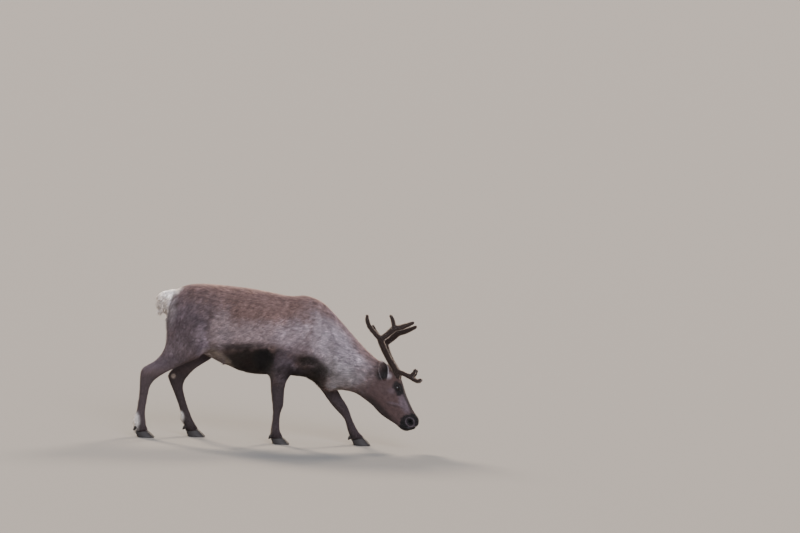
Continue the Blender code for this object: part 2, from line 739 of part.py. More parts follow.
def tail_piece():
    """A short tail of long white hair that hangs close behind the rump."""
    rng = random.Random(5)
    line = [(-0.640, 0.902), (-0.680, 0.900), (-0.712, 0.872), (-0.731, 0.828), (-0.737, 0.785)]
    rows = [(*point, radius) for point, radius in zip(line, (0.018, 0.031, 0.039, 0.037, 0.019))]

    def core(place, angle):
        x, z, radius = blend_rows(rows, place)
        ahead = blend_rows(rows, min(1, place + 0.02)) - blend_rows(rows, max(0, place - 0.02))
        axis = Vector((ahead[0], 0, ahead[1])).normalized()
        radius *= math.sqrt(max(0.0, 1 - abs(2 * place - 1) ** 6))
        flank = axis.cross(Vector((0, 1, 0)))
        return Vector((x, math.cos(angle) * radius * 1.3, z)) + flank * radius * math.sin(angle)

    tail = object_from(swept(core, 8, 10), "tail")
    locks = []
    for row in range(4):
        place = 0.30 + 0.17 * row
        x, z, radius = blend_rows(rows, place)
        ahead = blend_rows(rows, place + 0.05) - blend_rows(rows, place)
        axis = Vector((ahead[0], 0, ahead[1])).normalized()
        behind = axis.cross(Vector((0, 1, 0)))
        behind *= 1 if behind.x < 0 else -1
        for index in range(6):
            angle = math.pi * (index + 0.25 + 0.5 * (row % 2)) / 6
            out = behind * math.sin(angle) + Vector((0, 1.3, 0)) * math.cos(angle)
            root = Vector((x, 0, z)) + out * radius * 0.72
            lie = axis + out * (0.34 - 0.05 * row) + spread(rng, 0.06)
            length = 0.064 - 0.005 * row + rng.uniform(-0.006, 0.006)
            locks.append(lock(root, lie, out, length, 0.027, 0.012, (0.008, 0, -0.006)))
    boolean(tail, "UNION", locks)
    return finish(keep_largest(tail), "tail", "coat_white")


# Ears, eyes and antlers, made in the straight head's place and then turned with it.
def ear_piece(side):
    """A leaf of an ear on a round stalk, with a deep cup that opens outwards."""
    base = Vector((0.661, -0.058, 0.428))
    tip = Vector((0.638, -0.118, 0.553))
    length = (tip - base).length
    rise = (tip - base).normalized()
    opens = Vector((0.30, -0.93, -0.25))
    opens = (opens - rise * opens.dot(rise)).normalized()
    across = rise.cross(opens)
    rows = [
        (0.013, 0.014), (0.017, 0.017), (0.025, 0.019), (0.032, 0.018), (0.033, 0.014), (0.026, 0.009),
        (0.011, 0.004),
    ]

    def point_at(place, angle):
        width, depth = blend_rows(rows, place)
        close = math.sqrt(max(0.0, 1 - abs(2 * place - 1) ** 14))
        bow = base + rise * length * place + opens * 0.012 * math.sin(math.pi * place)
        if angle <= math.pi:
            return bow + (across * math.cos(angle) * width - opens * math.sin(angle) * depth) * close
        cup = smooth_step(0.18, 0.50, place)
        floor = math.sin(angle) * (depth - 0.0045) * cup - math.sin(angle) * depth * 0.7 * (1 - cup)
        inset = 0.0035 * cup * min(1.0, -4 * math.sin(angle))
        return bow + (across * math.cos(angle) * (width - inset) + opens * floor) * close

    mesh = swept(point_at, 11, 16)
    for vert in mesh.verts:
        vert.co = on_head(vert.co, side)
    return facing_out(mesh)


def rooted(name, mesh, carriers, away, slot):
    """A piece of its own that stands on its carriers' surface, off by the gap."""
    return finish(set_off(object_from(mesh, name), carriers, away), name, slot)


def ball(centre, radius):
    mesh = bmesh.new()
    bmesh.ops.create_uvsphere(mesh, u_segments=16, v_segments=8, radius=radius)
    bmesh.ops.translate(mesh, verts=mesh.verts, vec=centre)
    return mesh


def eye_centre(side):
    return turned((EYE_CENTRE.x, side * EYE_CENTRE.y, EYE_CENTRE.z))


Tine = namedtuple("Tine", "line radii flat")
# The right antler's beam and tines by x, y and z, with the radius at each point.
BEAM = Tine((
    (0.722, -0.030, 0.432), (0.727, -0.040, 0.488), (0.700, -0.056, 0.532), (0.666, -0.080, 0.586),
    (0.638, -0.104, 0.641), (0.620, -0.122, 0.684), (0.617, -0.126, 0.697)),
    (0.0205, 0.0200, 0.0178, 0.0170, 0.0178, 0.0188, 0.0180), 1.1)
REAR_TINE = Tine((
    (0.618, -0.124, 0.688), (0.604, -0.128, 0.703), (0.575, -0.136, 0.732), (0.549, -0.142, 0.763),
    (0.533, -0.147, 0.798), (0.530, -0.146, 0.828)),
    (0.0175, 0.0162, 0.0150, 0.0146, 0.0134, 0.0108), 1.0)
FRONT_BRANCH = Tine((
    (0.618, -0.122, 0.688), (0.634, -0.121, 0.699), (0.658, -0.117, 0.717), (0.684, -0.112, 0.742),
    (0.706, -0.106, 0.758), (0.738, -0.098, 0.765), (0.776, -0.088, 0.779), (0.817, -0.076, 0.797)),
    (0.0165, 0.0165, 0.0170, 0.0185, 0.0178, 0.0158, 0.0138, 0.0094), 1.1)
UP_TINE = Tine((
    (0.696, -0.108, 0.748), (0.697, -0.104, 0.772), (0.693, -0.098, 0.796), (0.685, -0.092, 0.816),
    (0.674, -0.087, 0.834)),
    (0.0160, 0.0152, 0.0140, 0.0126, 0.0100), 1.0)
BROW_TINE = Tine((
    (0.722, -0.040, 0.486), (0.745, -0.042, 0.487), (0.770, -0.043, 0.480), (0.797, -0.042, 0.469),
    (0.823, -0.040, 0.457), (0.846, -0.037, 0.442), (0.864, -0.034, 0.438), (0.878, -0.031, 0.448)),
    (0.0160, 0.0148, 0.0142, 0.0150, 0.0148, 0.0130, 0.0116, 0.0092), 1.0)
BROW_PRONG = Tine((
    (0.810, -0.042, 0.464), (0.825, -0.043, 0.473), (0.837, -0.043, 0.487), (0.845, -0.042, 0.508)),
    (0.0140, 0.0130, 0.0116, 0.0090), 1.0)
# How many of its points each tine of the smaller left antler keeps, and its height.
LEFT_REAR_POINTS = 5
LEFT_UP_POINTS = 3
LEFT_RISE = 0.955


def left_tine(tine, points):
    """The left antler's tine, shorter and a little lower than the right one's."""
    foot = BEAM.line[0][2]
    line = tuple((x, y, foot + (z - foot) * LEFT_RISE) for x, y, z in tine.line[:points])
    radii = tine.radii[:points - 1] + tine.radii[-1:]
    return Tine(line, radii, tine.flat)


def tine_mesh(tine, side, along, around):
    """A round, tapering tine with a blunt tip."""
    rows = [(*point, radius) for point, radius in zip(tine.line, tine.radii)]
    blunt = 0.10

    def point_at(place, angle):
        share = min(place / (1 - blunt), 1.0)
        row = blend_rows(rows, share)
        ahead, behind = blend_rows(rows, min(1.0, share + 0.03)), blend_rows(rows, max(0.0, share - 0.03))
        axis = Vector(ahead - behind).to_3d().normalized()
        turn = max(0.0, place - 1 + blunt) / blunt * math.pi / 2
        radius = 0.0 if place == 0 else row[3] * math.cos(turn)
        flank = axis.cross(Vector((0, 1, 0))).normalized()
        other = axis.cross(flank)
        point = Vector(row[:3]) + axis * row[3] * math.sin(turn)
        point += flank * radius * tine.flat * math.cos(angle) + other * radius * math.sin(angle)
        return on_head(point, side)

    return swept(point_at, along, around)


def antler_pieces(side, head):
    """The beam, the rear tine, the front branch and the brow tine of one antler."""
    name = "antler_" + ("left" if side > 0 else "right") + "_"
    tines = [BEAM, REAR_TINE, FRONT_BRANCH, UP_TINE]
    if side > 0:
        kept = (len(BEAM.line), LEFT_REAR_POINTS, len(FRONT_BRANCH.line), LEFT_UP_POINTS)
        tines = [left_tine(tine, points) for tine, points in zip(tines, kept)]
    main, back, front, up = tines
    beam = rooted(name + "beam", tine_mesh(main, side, 12, 10), [head], lie_of(main, side), "velvet")
    brow = object_from(tine_mesh(BROW_TINE, side, 15, 8), "brow")
    boolean(brow, "UNION", [tine_mesh(BROW_PRONG, side, 7, 8)])
    branch = object_from(tine_mesh(front, side, 15, 8), "branch")
    boolean(branch, "UNION", [tine_mesh(up, side, 8, 8)])
    rear = object_from(tine_mesh(back, side, 12, 8), "rear")
    set_off(brow, [beam, head], lie_of(BROW_TINE, side))
    set_off(rear, [beam], lie_of(back, side))
    set_off(branch, [beam, rear], lie_of(front, side))
    for obj, part in ((brow, "brow_tine"), (branch, "front_branch"), (rear, "rear_tine")):
        finish(obj, name + part, "velvet")


def lie_of(tine, side):
    """The way a tine leaves its carrier, on the turned head."""
    return on_head(tine.line[2], side) - on_head(tine.line[0], side)


def set_off(obj, carriers, away):
    """Cuts a piece to the surface of its carriers and moves it off by the gap."""
    cutters = []
    for carrier in carriers:
        cutter = bmesh.new()
        cutter.from_mesh(carrier.data)
        cutters.append(cutter)
    boolean(obj, "DIFFERENCE", cutters)
    keep_largest(obj)
    obj.data.transform(Matrix.Translation(Vector(away).normalized() * PART_GAP))
    return obj


# Hooves.
def claw_mesh(leg, inner):
    """One of a foot's two main claws: a horn shoe with a flat sole that fits the foot above it."""
    front, back = Vector(leg.limbs[-2].front), Vector(leg.limbs[-2].back)
    middle = leg.side * leg.foot_stance
    # Slices from the sole's middle up to the coronet: toe x, heel x, half width, offset, height share.
    sole = (leg.toe_x, back.x + 0.012, 0.0215, 0.0228)
    crown = (front.x, back.x, 0.0172, 0.0176)
    heights = (0.0, 0.0, 0.10, 0.35, 0.65, 1.0, 1.0)
    sizes = (0.0, 0.96, 1.0, 1.0, 1.0, 1.0, 0.0)

    def point_at(place, angle):
        index = round(place * (len(heights) - 1))
        share, size = heights[index], sizes[index]
        toe, heel, half, offset = (low + (high - low) * share for low, high in zip(sole, crown))
        forward, across = math.cos(angle), math.sin(angle)
        narrow = 1 - 0.30 * max(0.0, forward) ** 2 * (1 - 0.5 * share)
        inward = 0.96 if across * inner < 0 else 1.0
        x = (toe + heel) / 2 + (toe - heel) / 2 * forward * size
        y = inner * offset + half * squared(across, 0.8) * narrow * inward * size
        y += inner * (x - back.x) * math.tan(CLAW_SPLAY) * (1 - share)
        slope = (front.y - back.y) / (front.x - back.x)
        top = back.y + slope * (x - back.x) - PART_GAP
        return Vector((x, middle + y, top * share))

    return swept(point_at, len(heights) - 1, 14)


def dewclaw_mesh(leg, inner):
    """A small blunt claw behind the pastern, pointing down and back."""
    row = blend_rows(leg_rows(leg), (len(leg.limbs) - 2.9) / (len(leg.limbs) - 1))
    root = Vector((row[2] + 0.012, row[4] + inner * 0.017, row[3] + 0.002))
    lie = Vector((-0.55, inner * 0.16, -0.80)).normalized()
    side = lie.cross(Vector((0, 1, 0))).normalized()
    other = lie.cross(side)

    def point_at(place, angle):
        swell = math.sin(math.pi * (0.18 + 0.82 * place)) ** 0.5 if 0 < place < 1 else 0
        radius = 0.0130 * (1 - 0.45 * place) * swell
        around = side * math.cos(angle) + other * 1.15 * math.sin(angle)
        return root + lie * 0.036 * place + around * radius

    return swept(point_at, 5, 8)


def hoof_pieces(leg, foot):
    for inner, word in ((1, "left"), (-1, "right")):
        finish(object_from(claw_mesh(leg, inner), "claw"), leg.name + "_claw_" + word, "hoof_horn")
        rooted(leg.name + "_dewclaw_" + word, dewclaw_mesh(leg, inner), [foot],
               (-0.7, 0.1 * inner, -0.55), "hoof_horn")


def centre_on_floor():
    """Moves all the pieces so that the middle of their bounding box is over the origin."""
    points = np.vstack([points_and_normals(obj.data)[0] for obj in bpy.data.objects])
    low, high = points.min(0), points.max(0)
    shift = Matrix.Translation((-(low[0] + high[0]) / 2, -(low[1] + high[1]) / 2, -low[2]))
    for obj in bpy.data.objects:
        obj.data.transform(shift)


def main():
    clear_scene()
    body = fused_body()
    refine(body, in_head)
    refine(body, near_feature)
    stroke_all(body.data, BODY_STROKES)
    stroke_all(body.data, FACE_STROKES)
    shape_mouth(body.data)
    shape_nostrils(body.data)
    shape_eyes(body.data)
    turn_head(body.data)
    thin_out(body, lambda point: in_head(point) and not near_eye(point), HEAD_TRIANGLES)
    thin_out(body, near_eye, EYE_TRIANGLES)
    thin_out(body, lambda point: not in_head(point), BODY_TRIANGLES)
    boolean(body, "UNION", fringe_locks())
    sockets = [ball(eye_centre(side), EYE_RADIUS + PART_GAP) for side in (1, -1)]
    boolean(body, "DIFFERENCE", sockets)
    pieces = part_body(body)
    head = pieces["head"]
    for side, word in ((1, "left"), (-1, "right")):
        finish(object_from(ball(eye_centre(side), EYE_RADIUS), "eye"), "eye_" + word, "eye_glass")
        rooted("ear_" + word, ear_piece(side), [head], turned_way((0, side * 0.8, 0.5)), "coat_grey")
        antler_pieces(side, head)
    tail = tail_piece()
    finish(set_off(tail, [pieces["torso"]], (-1, 0, 0)), "tail", "coat_white")
    for leg in LEGS:
        hoof_pieces(leg, pieces[leg.name + "_foot"])
    centre_on_floor()


main()
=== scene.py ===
"""The finish of a life-size reindeer that stands with its head down to graze.

One skin runs over the whole body, a coat's depth inside the frame's solids. Tufts of
hair stand on it, and skin and tufts take their colours from the same marks. Metres,
+Z up, +X the way the animal faces and +Y its left side.
"""

import math
from collections import namedtuple

import bmesh
import bpy
import numpy as np
from mathutils import Matrix, Vector


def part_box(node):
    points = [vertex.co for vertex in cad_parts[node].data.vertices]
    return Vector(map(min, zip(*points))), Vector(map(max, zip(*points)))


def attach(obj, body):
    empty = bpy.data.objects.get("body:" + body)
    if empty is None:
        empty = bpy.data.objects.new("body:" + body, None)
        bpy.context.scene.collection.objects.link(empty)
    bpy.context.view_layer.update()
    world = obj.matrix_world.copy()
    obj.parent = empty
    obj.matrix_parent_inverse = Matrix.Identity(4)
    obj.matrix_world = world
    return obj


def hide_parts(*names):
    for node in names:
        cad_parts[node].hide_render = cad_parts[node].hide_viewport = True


bl_info = {
    "name": "Reindeer finish",
    "version": (1, 0, 0),
    "blender": (4, 5, 0),
    "location": "View3D > Sidebar > Reindeer",
    "description": "Skin, coat, velvet antlers, eyes and hooves of a life-size reindeer",
    "category": "Object",
}

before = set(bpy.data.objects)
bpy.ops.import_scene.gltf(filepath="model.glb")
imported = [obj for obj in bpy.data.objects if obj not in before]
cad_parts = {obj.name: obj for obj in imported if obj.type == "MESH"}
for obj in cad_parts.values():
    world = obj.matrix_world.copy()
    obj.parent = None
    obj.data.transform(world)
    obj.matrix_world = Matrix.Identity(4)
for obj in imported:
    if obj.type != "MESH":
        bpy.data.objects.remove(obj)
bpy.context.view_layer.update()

# The head is laid out straight ahead and then turned with the neck.
HEAD_TURN = math.radians(-11)
HEAD_DORSAL = Vector((0.772, 0.0, 0.636))
FACE_AXIS = Vector((0.636, 0.0, -0.772))
NECK_PIVOT = Vector((0.42, 0.0, 0.52))
EYE_CENTRE = Vector((0.7444, 0.0513, 0.3813))
EYE_LOOKS = Vector((0.36, 0.915, 0.17)).normalized()
EYE_RADIUS = 0.0185
EYE_SLIT = Vector((0.60, 0.0, -0.80))
# Half the length and half the height of the almond that the lids leave open.
EYE_OPENING = (0.0150, 0.0092)
NOSTRIL = Vector((0.835, 0.0420, 0.179))
NOSTRIL_SLANT = Vector((0.62, 0.0, -0.78))
# The ball of flesh on each side of the muzzle.
MUZZLE_PAD = Vector((0.833, 0.0125, 0.181))
MUZZLE_PAD_RADIUS = 0.0285
LIP_LINE = (
    (0.892, 0.168), (0.864, 0.150), (0.838, 0.1435), (0.812, 0.147), (0.790, 0.156), (0.771, 0.167),
)
# Seen from the side, the lines where the neck begins and where the head begins.
NECK_LINE = ((0.262, 0.915), (0.402, 0.326))
POLL_LINE = ((0.650, 0.562), (0.492, 0.296))
TAIL_LINE = ((-0.702, 0.912), (-0.728, 0.872), (-0.740, 0.828), (-0.738, 0.785))
# The dark crest of the neck, from the withers to the poll.
CREST_LINE = ((0.235, 0.900), (0.310, 0.844), (0.440, 0.709), (0.565, 0.588), (0.650, 0.535))
# The right ear on the straight head: its root, its tip, and the way its cup opens.
EAR_BASE = Vector((0.661, -0.058, 0.428))
EAR_TIP = Vector((0.638, -0.118, 0.553))
EAR_OPENS = Vector((0.30, -0.93, -0.25))
EAR_HEIGHT = 0.119
# The half width of the ear at even steps from its root to its tip.
EAR_WIDTHS = (0.012, 0.0195, 0.0270, 0.0310, 0.0310, 0.0265, 0.0110)

# A leg behind the first of these is a hind leg. The coat's fore and hind pieces part at the others.
HIND_LEGS_FROM = -0.33
TRUNK_PARTS_AT = -0.17
LEGS_PART_AT = -0.3
# Where a leg or the tail meets the body in a crease, which the skin draws smooth.
CREASES = ((0.235, 0.365), (-0.300, 0.460), (-0.740, 0.750))
# The white hair behind the right and the left hind fetlock: its middle and its reach.
HEELS = ((-0.888, 0.092, 0.056), (-0.602, 0.112, 0.034))

# How far the skin lies inside the solids.
TRUNK_DEPTH = 0.0070
LEG_DEPTH = 0.0030
HEAD_DEPTH = 0.0022
TAIL_DEPTH = 0.0160
# The grain at which the skin and the velvet are each drawn as one surface.
SKIN_VOXEL = 0.0082
VELVET_VOXEL = 0.0028
# The balls that join an antler and the head, one in the skin and one in the antler.
ANTLER_SEAT_RADIUS = 0.0215
ANTLER_FOOT_RADIUS = 0.0205
# Half the pupil's length and height, as parts of the eyeball's radius.
PUPIL = (0.42, 0.24)
HOOF_EDGE = 0.0022
# How far a tuft's root lies under the skin, so that no gap shows.
ROOT_SUNK = 0.0005
TAIL_LOCKS = 4700
NAP_TUFTS = 11000
# How far across a tuft's patch is on the flat map of its piece, which is 1 across.
PATCH = 0.003
FLOOR_RADIUS = 200.0
CAMERA_AIM = Vector((0.7173, 0.0, 1.1349))
SENSOR_WIDTH = 36.0
FLESH = [
    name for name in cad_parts
    if name in ("torso", "neck", "head", "tail") or name.endswith(("_upper", "_cannon", "_foot"))
]
FEET = ("hind_leg_right", "hind_leg_left", "fore_leg_right", "fore_leg_left")
CLAWS = ("claw_left", "claw_right", "dewclaw_left", "dewclaw_right")
ANTLER_PARTS = ("beam", "brow_tine", "front_branch", "rear_tine")


def head_pose():
    """The matrix from the straight head to the frame's turned one, and the frame's own shift."""
    turn = Matrix.Rotation(HEAD_TURN, 4, HEAD_DORSAL)
    stretch = Matrix.Scale(1 / math.cos(HEAD_TURN), 4, FACE_AXIS)
    about = Matrix.Translation(NECK_PIVOT)
    pose = about @ turn @ stretch @ about.inverted()
    low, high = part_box("eye_left")
    shift = (low + high) / 2 - pose @ EYE_CENTRE
    return Matrix.Translation(shift) @ pose, shift


HEAD_POSE, SHIFT = head_pose()


# Small tools for numbers and meshes.
def linear(hex_colour):
    """An sRGB hex colour as linear red, green and blue."""
    values = [int(hex_colour[index:index + 2], 16) / 255 for index in (1, 3, 5)]
    return tuple(v / 12.92 if v <= 0.04045 else ((v + 0.055) / 1.055) ** 2.4 for v in values)


def smooth_step(low, high, value):
    t = np.clip((value - low) / (high - low), 0, 1)
    return t * t * (3 - 2 * t)


def dome(distance, radius):
    """A soft bump's share at each distance: 1 in the middle, 0 at the radius."""
    return np.clip(1 - (distance / radius) ** 2, 0, None) ** 2


def mixed(values, others, share):
    """Numbers, colours or directions drawn towards others, each by its own share."""
    share = share[:, None] if values.ndim > 1 else share
    return values + (np.array(others) - values) * share


def unit(vectors):
    return vectors / np.maximum(np.linalg.norm(vectors, axis=-1, keepdims=True), 1e-9)


def from_side(points, place):
    """Seen from the side, each point's distance to a place."""
    return np.linalg.norm(points[:, [0, 2]] - place, axis=1)


def straight(points):
    """Points of the turned head, laid back on the straight one."""
    back = np.array(HEAD_POSE.inverted())
    return points @ back[:3, :3].T + back[:3, 3]


def unshifted(points):
    """Points of the frame, where they were before its shift."""
    return points - np.array(SHIFT)


def on_left(face):
    """Points of the straight head, with those on its right mirrored to its left."""
    return np.column_stack((face[:, 0], np.abs(face[:, 1]), face[:, 2]))


def mottle(points, size, seed):
    """A soft random pattern from about -1 to 1, with patches of the given size."""
    rng = np.random.default_rng(seed)
    waves = rng.normal(size=(16, 3)) * 2.2 / size
    phases = rng.uniform(0, 2 * math.pi, 16)
    return np.sin(points @ waves.T + phases).sum(axis=1) / 4


def nearest_on(points, line):
    """Seen from the side, each point's distance to a line and the way that the line runs there."""
    seen = points[:, [0, 2]]
    best = np.full(len(points), 1e9)
    ways = np.zeros((len(points), 2))
    for start, end in zip(line, line[1:]):
        a, along = np.array(start), np.array(end) - np.array(start)
        share = np.clip(((seen - a) @ along) / (along @ along), 0, 1)
        distance = np.linalg.norm(seen - a - share[:, None] * along, axis=1)
        ways[distance < best] = unit(along)
        best = np.minimum(best, distance)
    return best, ways


def line_distance(points, line):
    return nearest_on(points, line)[0]


def ahead_of(points, line):
    """How far each point is ahead of a slanted line, seen from the side."""
    top, bottom = np.array(line[0]), np.array(line[1])
    along = (bottom - top) / np.linalg.norm(bottom - top)
    return (points[:, [0, 2]] - top) @ np.array((-along[1], along[0]))


def points_of(data):
    points = np.empty(len(data.vertices) * 3)
    data.vertices.foreach_get("co", points)
    return points.reshape(-1, 3)


def normals_of(data):
    normals = np.empty(len(data.vertices) * 3)
    data.vertex_normals.foreach_get("vector", normals)
    return normals.reshape(-1, 3)


def triangles_of(data):
    data.calc_loop_triangles()
    triangles = np.empty(len(data.loop_triangles) * 3, np.int32)
    data.loop_triangles.foreach_get("vertices", triangles)
    return triangles.reshape(-1, 3)


def surface_of(data):
    return points_of(data), normals_of(data), triangles_of(data)


def store_points(data, points):
    data.vertices.foreach_set("co", np.ascontiguousarray(points, dtype=np.float32).ravel())
    data.update()


def relax(data, times, weight):
    """Draws each point towards the middle of its neighbours, by its weight, again and again."""
    edges = np.empty(len(data.edges) * 2, np.int32)
    data.edges.foreach_get("vertices", edges)
    one, other = edges.reshape(-1, 2).T
    points = points_of(data)
    size = len(points)
    count = np.bincount(one, minlength=size) + np.bincount(other, minlength=size)
    for _ in range(times):
        total = np.stack([
            np.bincount(one, points[other, axis], size) + np.bincount(other, points[one, axis], size)
            for axis in range(3)
        ], axis=1)
        points = points + (total / count[:, None] - points) * weight[:, None]
    store_points(data, points)


def object_from(mesh, name):
    data = bpy.data.meshes.new(name)
    mesh.to_mesh(data)
    mesh.free()
    return linked(data, name)


def linked(data, name):
    obj = bpy.data.objects.new(name, data)
    bpy.context.scene.collection.objects.link(obj)
    return obj


def apply_modifiers(obj):
    graph = bpy.context.evaluated_depsgraph_get()
    data = bpy.data.meshes.new_from_object(obj.evaluated_get(graph))
    obj.modifiers.clear()
    obj.data = data


def sewn_copy(names, grow=0.0):
    """One mesh of copies of the named nodes, sewn up and grown a little on every side."""
    whole = bmesh.new()
    for name in names:
        whole.from_mesh(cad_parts[name].data)
    bmesh.ops.remove_doubles(whole, verts=whole.verts, dist=1e-5)
    whole.normal_update()
    grown = [vert.co + vert.normal * grow for vert in whole.verts]
    for vert, place in zip(whole.verts, grown):
        vert.co = place
    return whole


def add_ball(mesh, centre, radius):
    made = bmesh.ops.create_uvsphere(mesh, u_segments=24, v_segments=16, radius=radius)
    bmesh.ops.translate(mesh, verts=made["verts"], vec=centre)


def fuse(obj, voxel):
    """Draws one closed surface round all that the object holds."""
    remesh = obj.modifiers.new("fuse", "REMESH")
    remesh.mode = "VOXEL"
    remesh.voxel_size = voxel
    apply_modifiers(obj)


def subdivide(obj, levels):
    """Rounds the object's faces."""
    smooth = obj.modifiers.new("smooth", "SUBSURF")
    smooth.levels = levels
    smooth.render_levels = levels
    apply_modifiers(obj)


def refine(obj, holds):
    """Splits each face whose middle the test holds, for finer detail there."""
    mesh = bmesh.new()
    mesh.from_mesh(obj.data)
    middles = np.array([face.calc_center_median() for face in mesh.faces])
    chosen = holds(middles)
    edges = list({edge for face, pick in zip(mesh.faces, chosen) if pick for edge in face.edges})
    bmesh.ops.subdivide_edges(mesh, edges=edges, cuts=1, use_grid_fill=True)
    bmesh.ops.triangulate(mesh, faces=[face for face in mesh.faces if len(face.verts) > 4])
    mesh.to_mesh(obj.data)
    mesh.free()


def paint(data, name, colours):
    """Stores a colour for each point."""
    layer = data.color_attributes.new(name, "FLOAT_COLOR", "POINT")
    full = np.ones((len(colours), 4), np.float32)
    full[:, :3] = colours
    layer.data.foreach_set("color", full.ravel())


# Materials.
def add_node(tree, kind, values=None, links=None, **settings):
    """One node with its settings, its inputs' values and what they are linked to."""
    node = tree.nodes.new(kind)
    for key, value in settings.items():
        setattr(node, key, value)
    for key, value in (values or {}).items():
        node.inputs[key].default_value = value
    for key, socket in (links or {}).items():
        tree.links.new(socket, node.inputs[key])
    return node


def new_material(name, **values):
    """A Principled material with the given values on its shader's own sockets."""
    made = bpy.data.materials.new(name)
    made.use_nodes = True
    shader = made.node_tree.nodes["Principled BSDF"]
    for key, value in values.items():
        shader.inputs[key.replace("_", " ")].default_value = value
    return made, made.node_tree, shader


def from_size(millimetres):
    """The scale of a noise pattern whose spots are about this size."""
    return 1000 / millimetres / 1.8


def hair_material(name, sheen, roughness, strand_mm):
    """Deer hair. Hollow, dry and fine, it scatters light softly and has a pale edge."""
    made, tree, shader = new_material(
        name, Roughness=roughness, Specular_IOR_Level=0.18, Sheen_Weight=sheen, Sheen_Roughness=0.45)
    shader.inputs["Sheen Tint"].default_value = (*linear("#fff1e6"), 1.0)
    coat = add_node(tree, "ShaderNodeAttribute", attribute_name="coat")
    place = add_node(tree, "ShaderNodeTexCoord")
    # Strands as coarse as they need to be to show: real ones are a fifth of a millimetre.
    strands = add_node(
        tree, "ShaderNodeTexNoise", {"Scale": from_size(strand_mm), "Detail": 3.0},
        {"Vector": place.outputs["Object"]})
    light = add_node(
        tree, "ShaderNodeMapRange", {"To Min": 0.72, "To Max": 1.28}, {"Value": strands.outputs["Fac"]})
    shade = add_node(
        tree, "ShaderNodeVectorMath",
        links={0: coat.outputs["Color"], 1: light.outputs["Result"]}, operation="MULTIPLY")
    tree.links.new(shade.outputs["Vector"], shader.inputs["Base Color"])
    return made


def skin_material():
    """Short hair that lies flat on hide. It is dull, with a fine grain along the lie."""
    made, tree, shader = new_material("short_hair_on_hide", Specular_IOR_Level=0.25, Sheen_Weight=0.06)
    coat = add_node(tree, "ShaderNodeAttribute", attribute_name="coat")
    bare = add_node(tree, "ShaderNodeAttribute", attribute_name="bare")
    place = add_node(tree, "ShaderNodeTexCoord")
    # The grain is drawn out along the lie of the hair: down the legs, and back up the face.
    face = add_node(tree, "ShaderNodeAttribute", attribute_name="face")
    grains = []
    for slope in (math.radians(90), math.radians(38)):
        along = add_node(
            tree, "ShaderNodeMapping", {"Rotation": (0.0, slope, 0.0), "Scale": (7.0, 1.0, 1.0)},
            {"Vector": place.outputs["Object"]}, vector_type="TEXTURE")
        grains.append(add_node(
            tree, "ShaderNodeTexNoise", {"Scale": from_size(1.5), "Detail": 4.0},
            {"Vector": along.outputs["Vector"]}))
    grain = add_node(
        tree, "ShaderNodeMix",
        links={"Factor": face.outputs["Fac"], "A": grains[0].outputs["Fac"], "B": grains[1].outputs["Fac"]})
    light = add_node(
        tree, "ShaderNodeMapRange", {"From Min": 0.3, "From Max": 0.7, "To Min": 0.68, "To Max": 1.3},
        {"Value": grain.outputs["Result"]})
    shade = add_node(
        tree, "ShaderNodeVectorMath",
        links={0: coat.outputs["Color"], 1: light.outputs["Result"]}, operation="MULTIPLY")
    tree.links.new(shade.outputs["Vector"], shader.inputs["Base Color"])
    # Bare hide at the nostrils, lips and lids is smoother and a little moist.
    rough = add_node(
        tree, "ShaderNodeMapRange", {"To Min": 0.78, "To Max": 0.38}, {"Value": bare.outputs["Fac"]})
    tree.links.new(rough.outputs["Result"], shader.inputs["Roughness"])
    bump = add_node(
        tree, "ShaderNodeBump", {"Strength": 0.8, "Distance": 0.0015}, {"Height": grain.outputs["Result"]})
    tree.links.new(bump.outputs["Normal"], shader.inputs["Normal"])
    return made


def velvet_material():
    """Antler velvet. It is a dense dark nap that glows pale where light grazes it."""
    made, tree, shader = new_material(
        "antler_velvet", Roughness=0.85, Specular_IOR_Level=0.2, Sheen_Weight=1.0, Sheen_Roughness=0.35)
    shader.inputs["Sheen Tint"].default_value = (*linear("#ffe9d6"), 1.0)
    settings = bpy.context.scene.reindeer_horn
    place = add_node(tree, "ShaderNodeTexCoord")
    nap = add_node(
        tree, "ShaderNodeTexNoise", {"Scale": from_size(2.2), "Detail": 5.0},
        {"Vector": place.outputs["Object"]})
    clouds = add_node(
        tree, "ShaderNodeTexNoise", {"Scale": from_size(26.0), "Detail": 2.0},
        {"Vector": place.outputs["Object"]})
    light = add_node(
        tree, "ShaderNodeMapRange", {"To Min": 0.55, "To Max": 1.5}, {"Value": nap.outputs["Fac"]})
    base = add_node(
        tree, "ShaderNodeMix", links={"Factor": clouds.outputs["Fac"]}, data_type="RGBA")
    base.inputs["A"].default_value = (*settings.velvet, 1.0)
    base.inputs["B"].default_value = (*settings.velvet_worn, 1.0)
    shade = add_node(
        tree, "ShaderNodeVectorMath",
        links={0: base.outputs["Result"], 1: light.outputs["Result"]}, operation="MULTIPLY")
    tree.links.new(shade.outputs["Vector"], shader.inputs["Base Color"])
    bump = add_node(
        tree, "ShaderNodeBump", {"Strength": 0.7, "Distance": 0.0015}, {"Height": nap.outputs["Fac"]})
    tree.links.new(bump.outputs["Normal"], shader.inputs["Normal"])
    return made


def nap_material():
    """The tips of antler velvet. Dry and fine, they catch the light along the antler's outline."""
    made, tree, shader = new_material(
        "velvet_nap", Roughness=0.8, Specular_IOR_Level=0.2, Sheen_Weight=0.6, Sheen_Roughness=0.4)
    coat = add_node(tree, "ShaderNodeAttribute", attribute_name="coat")
    tree.links.new(coat.outputs["Color"], shader.inputs["Base Color"])
    return made


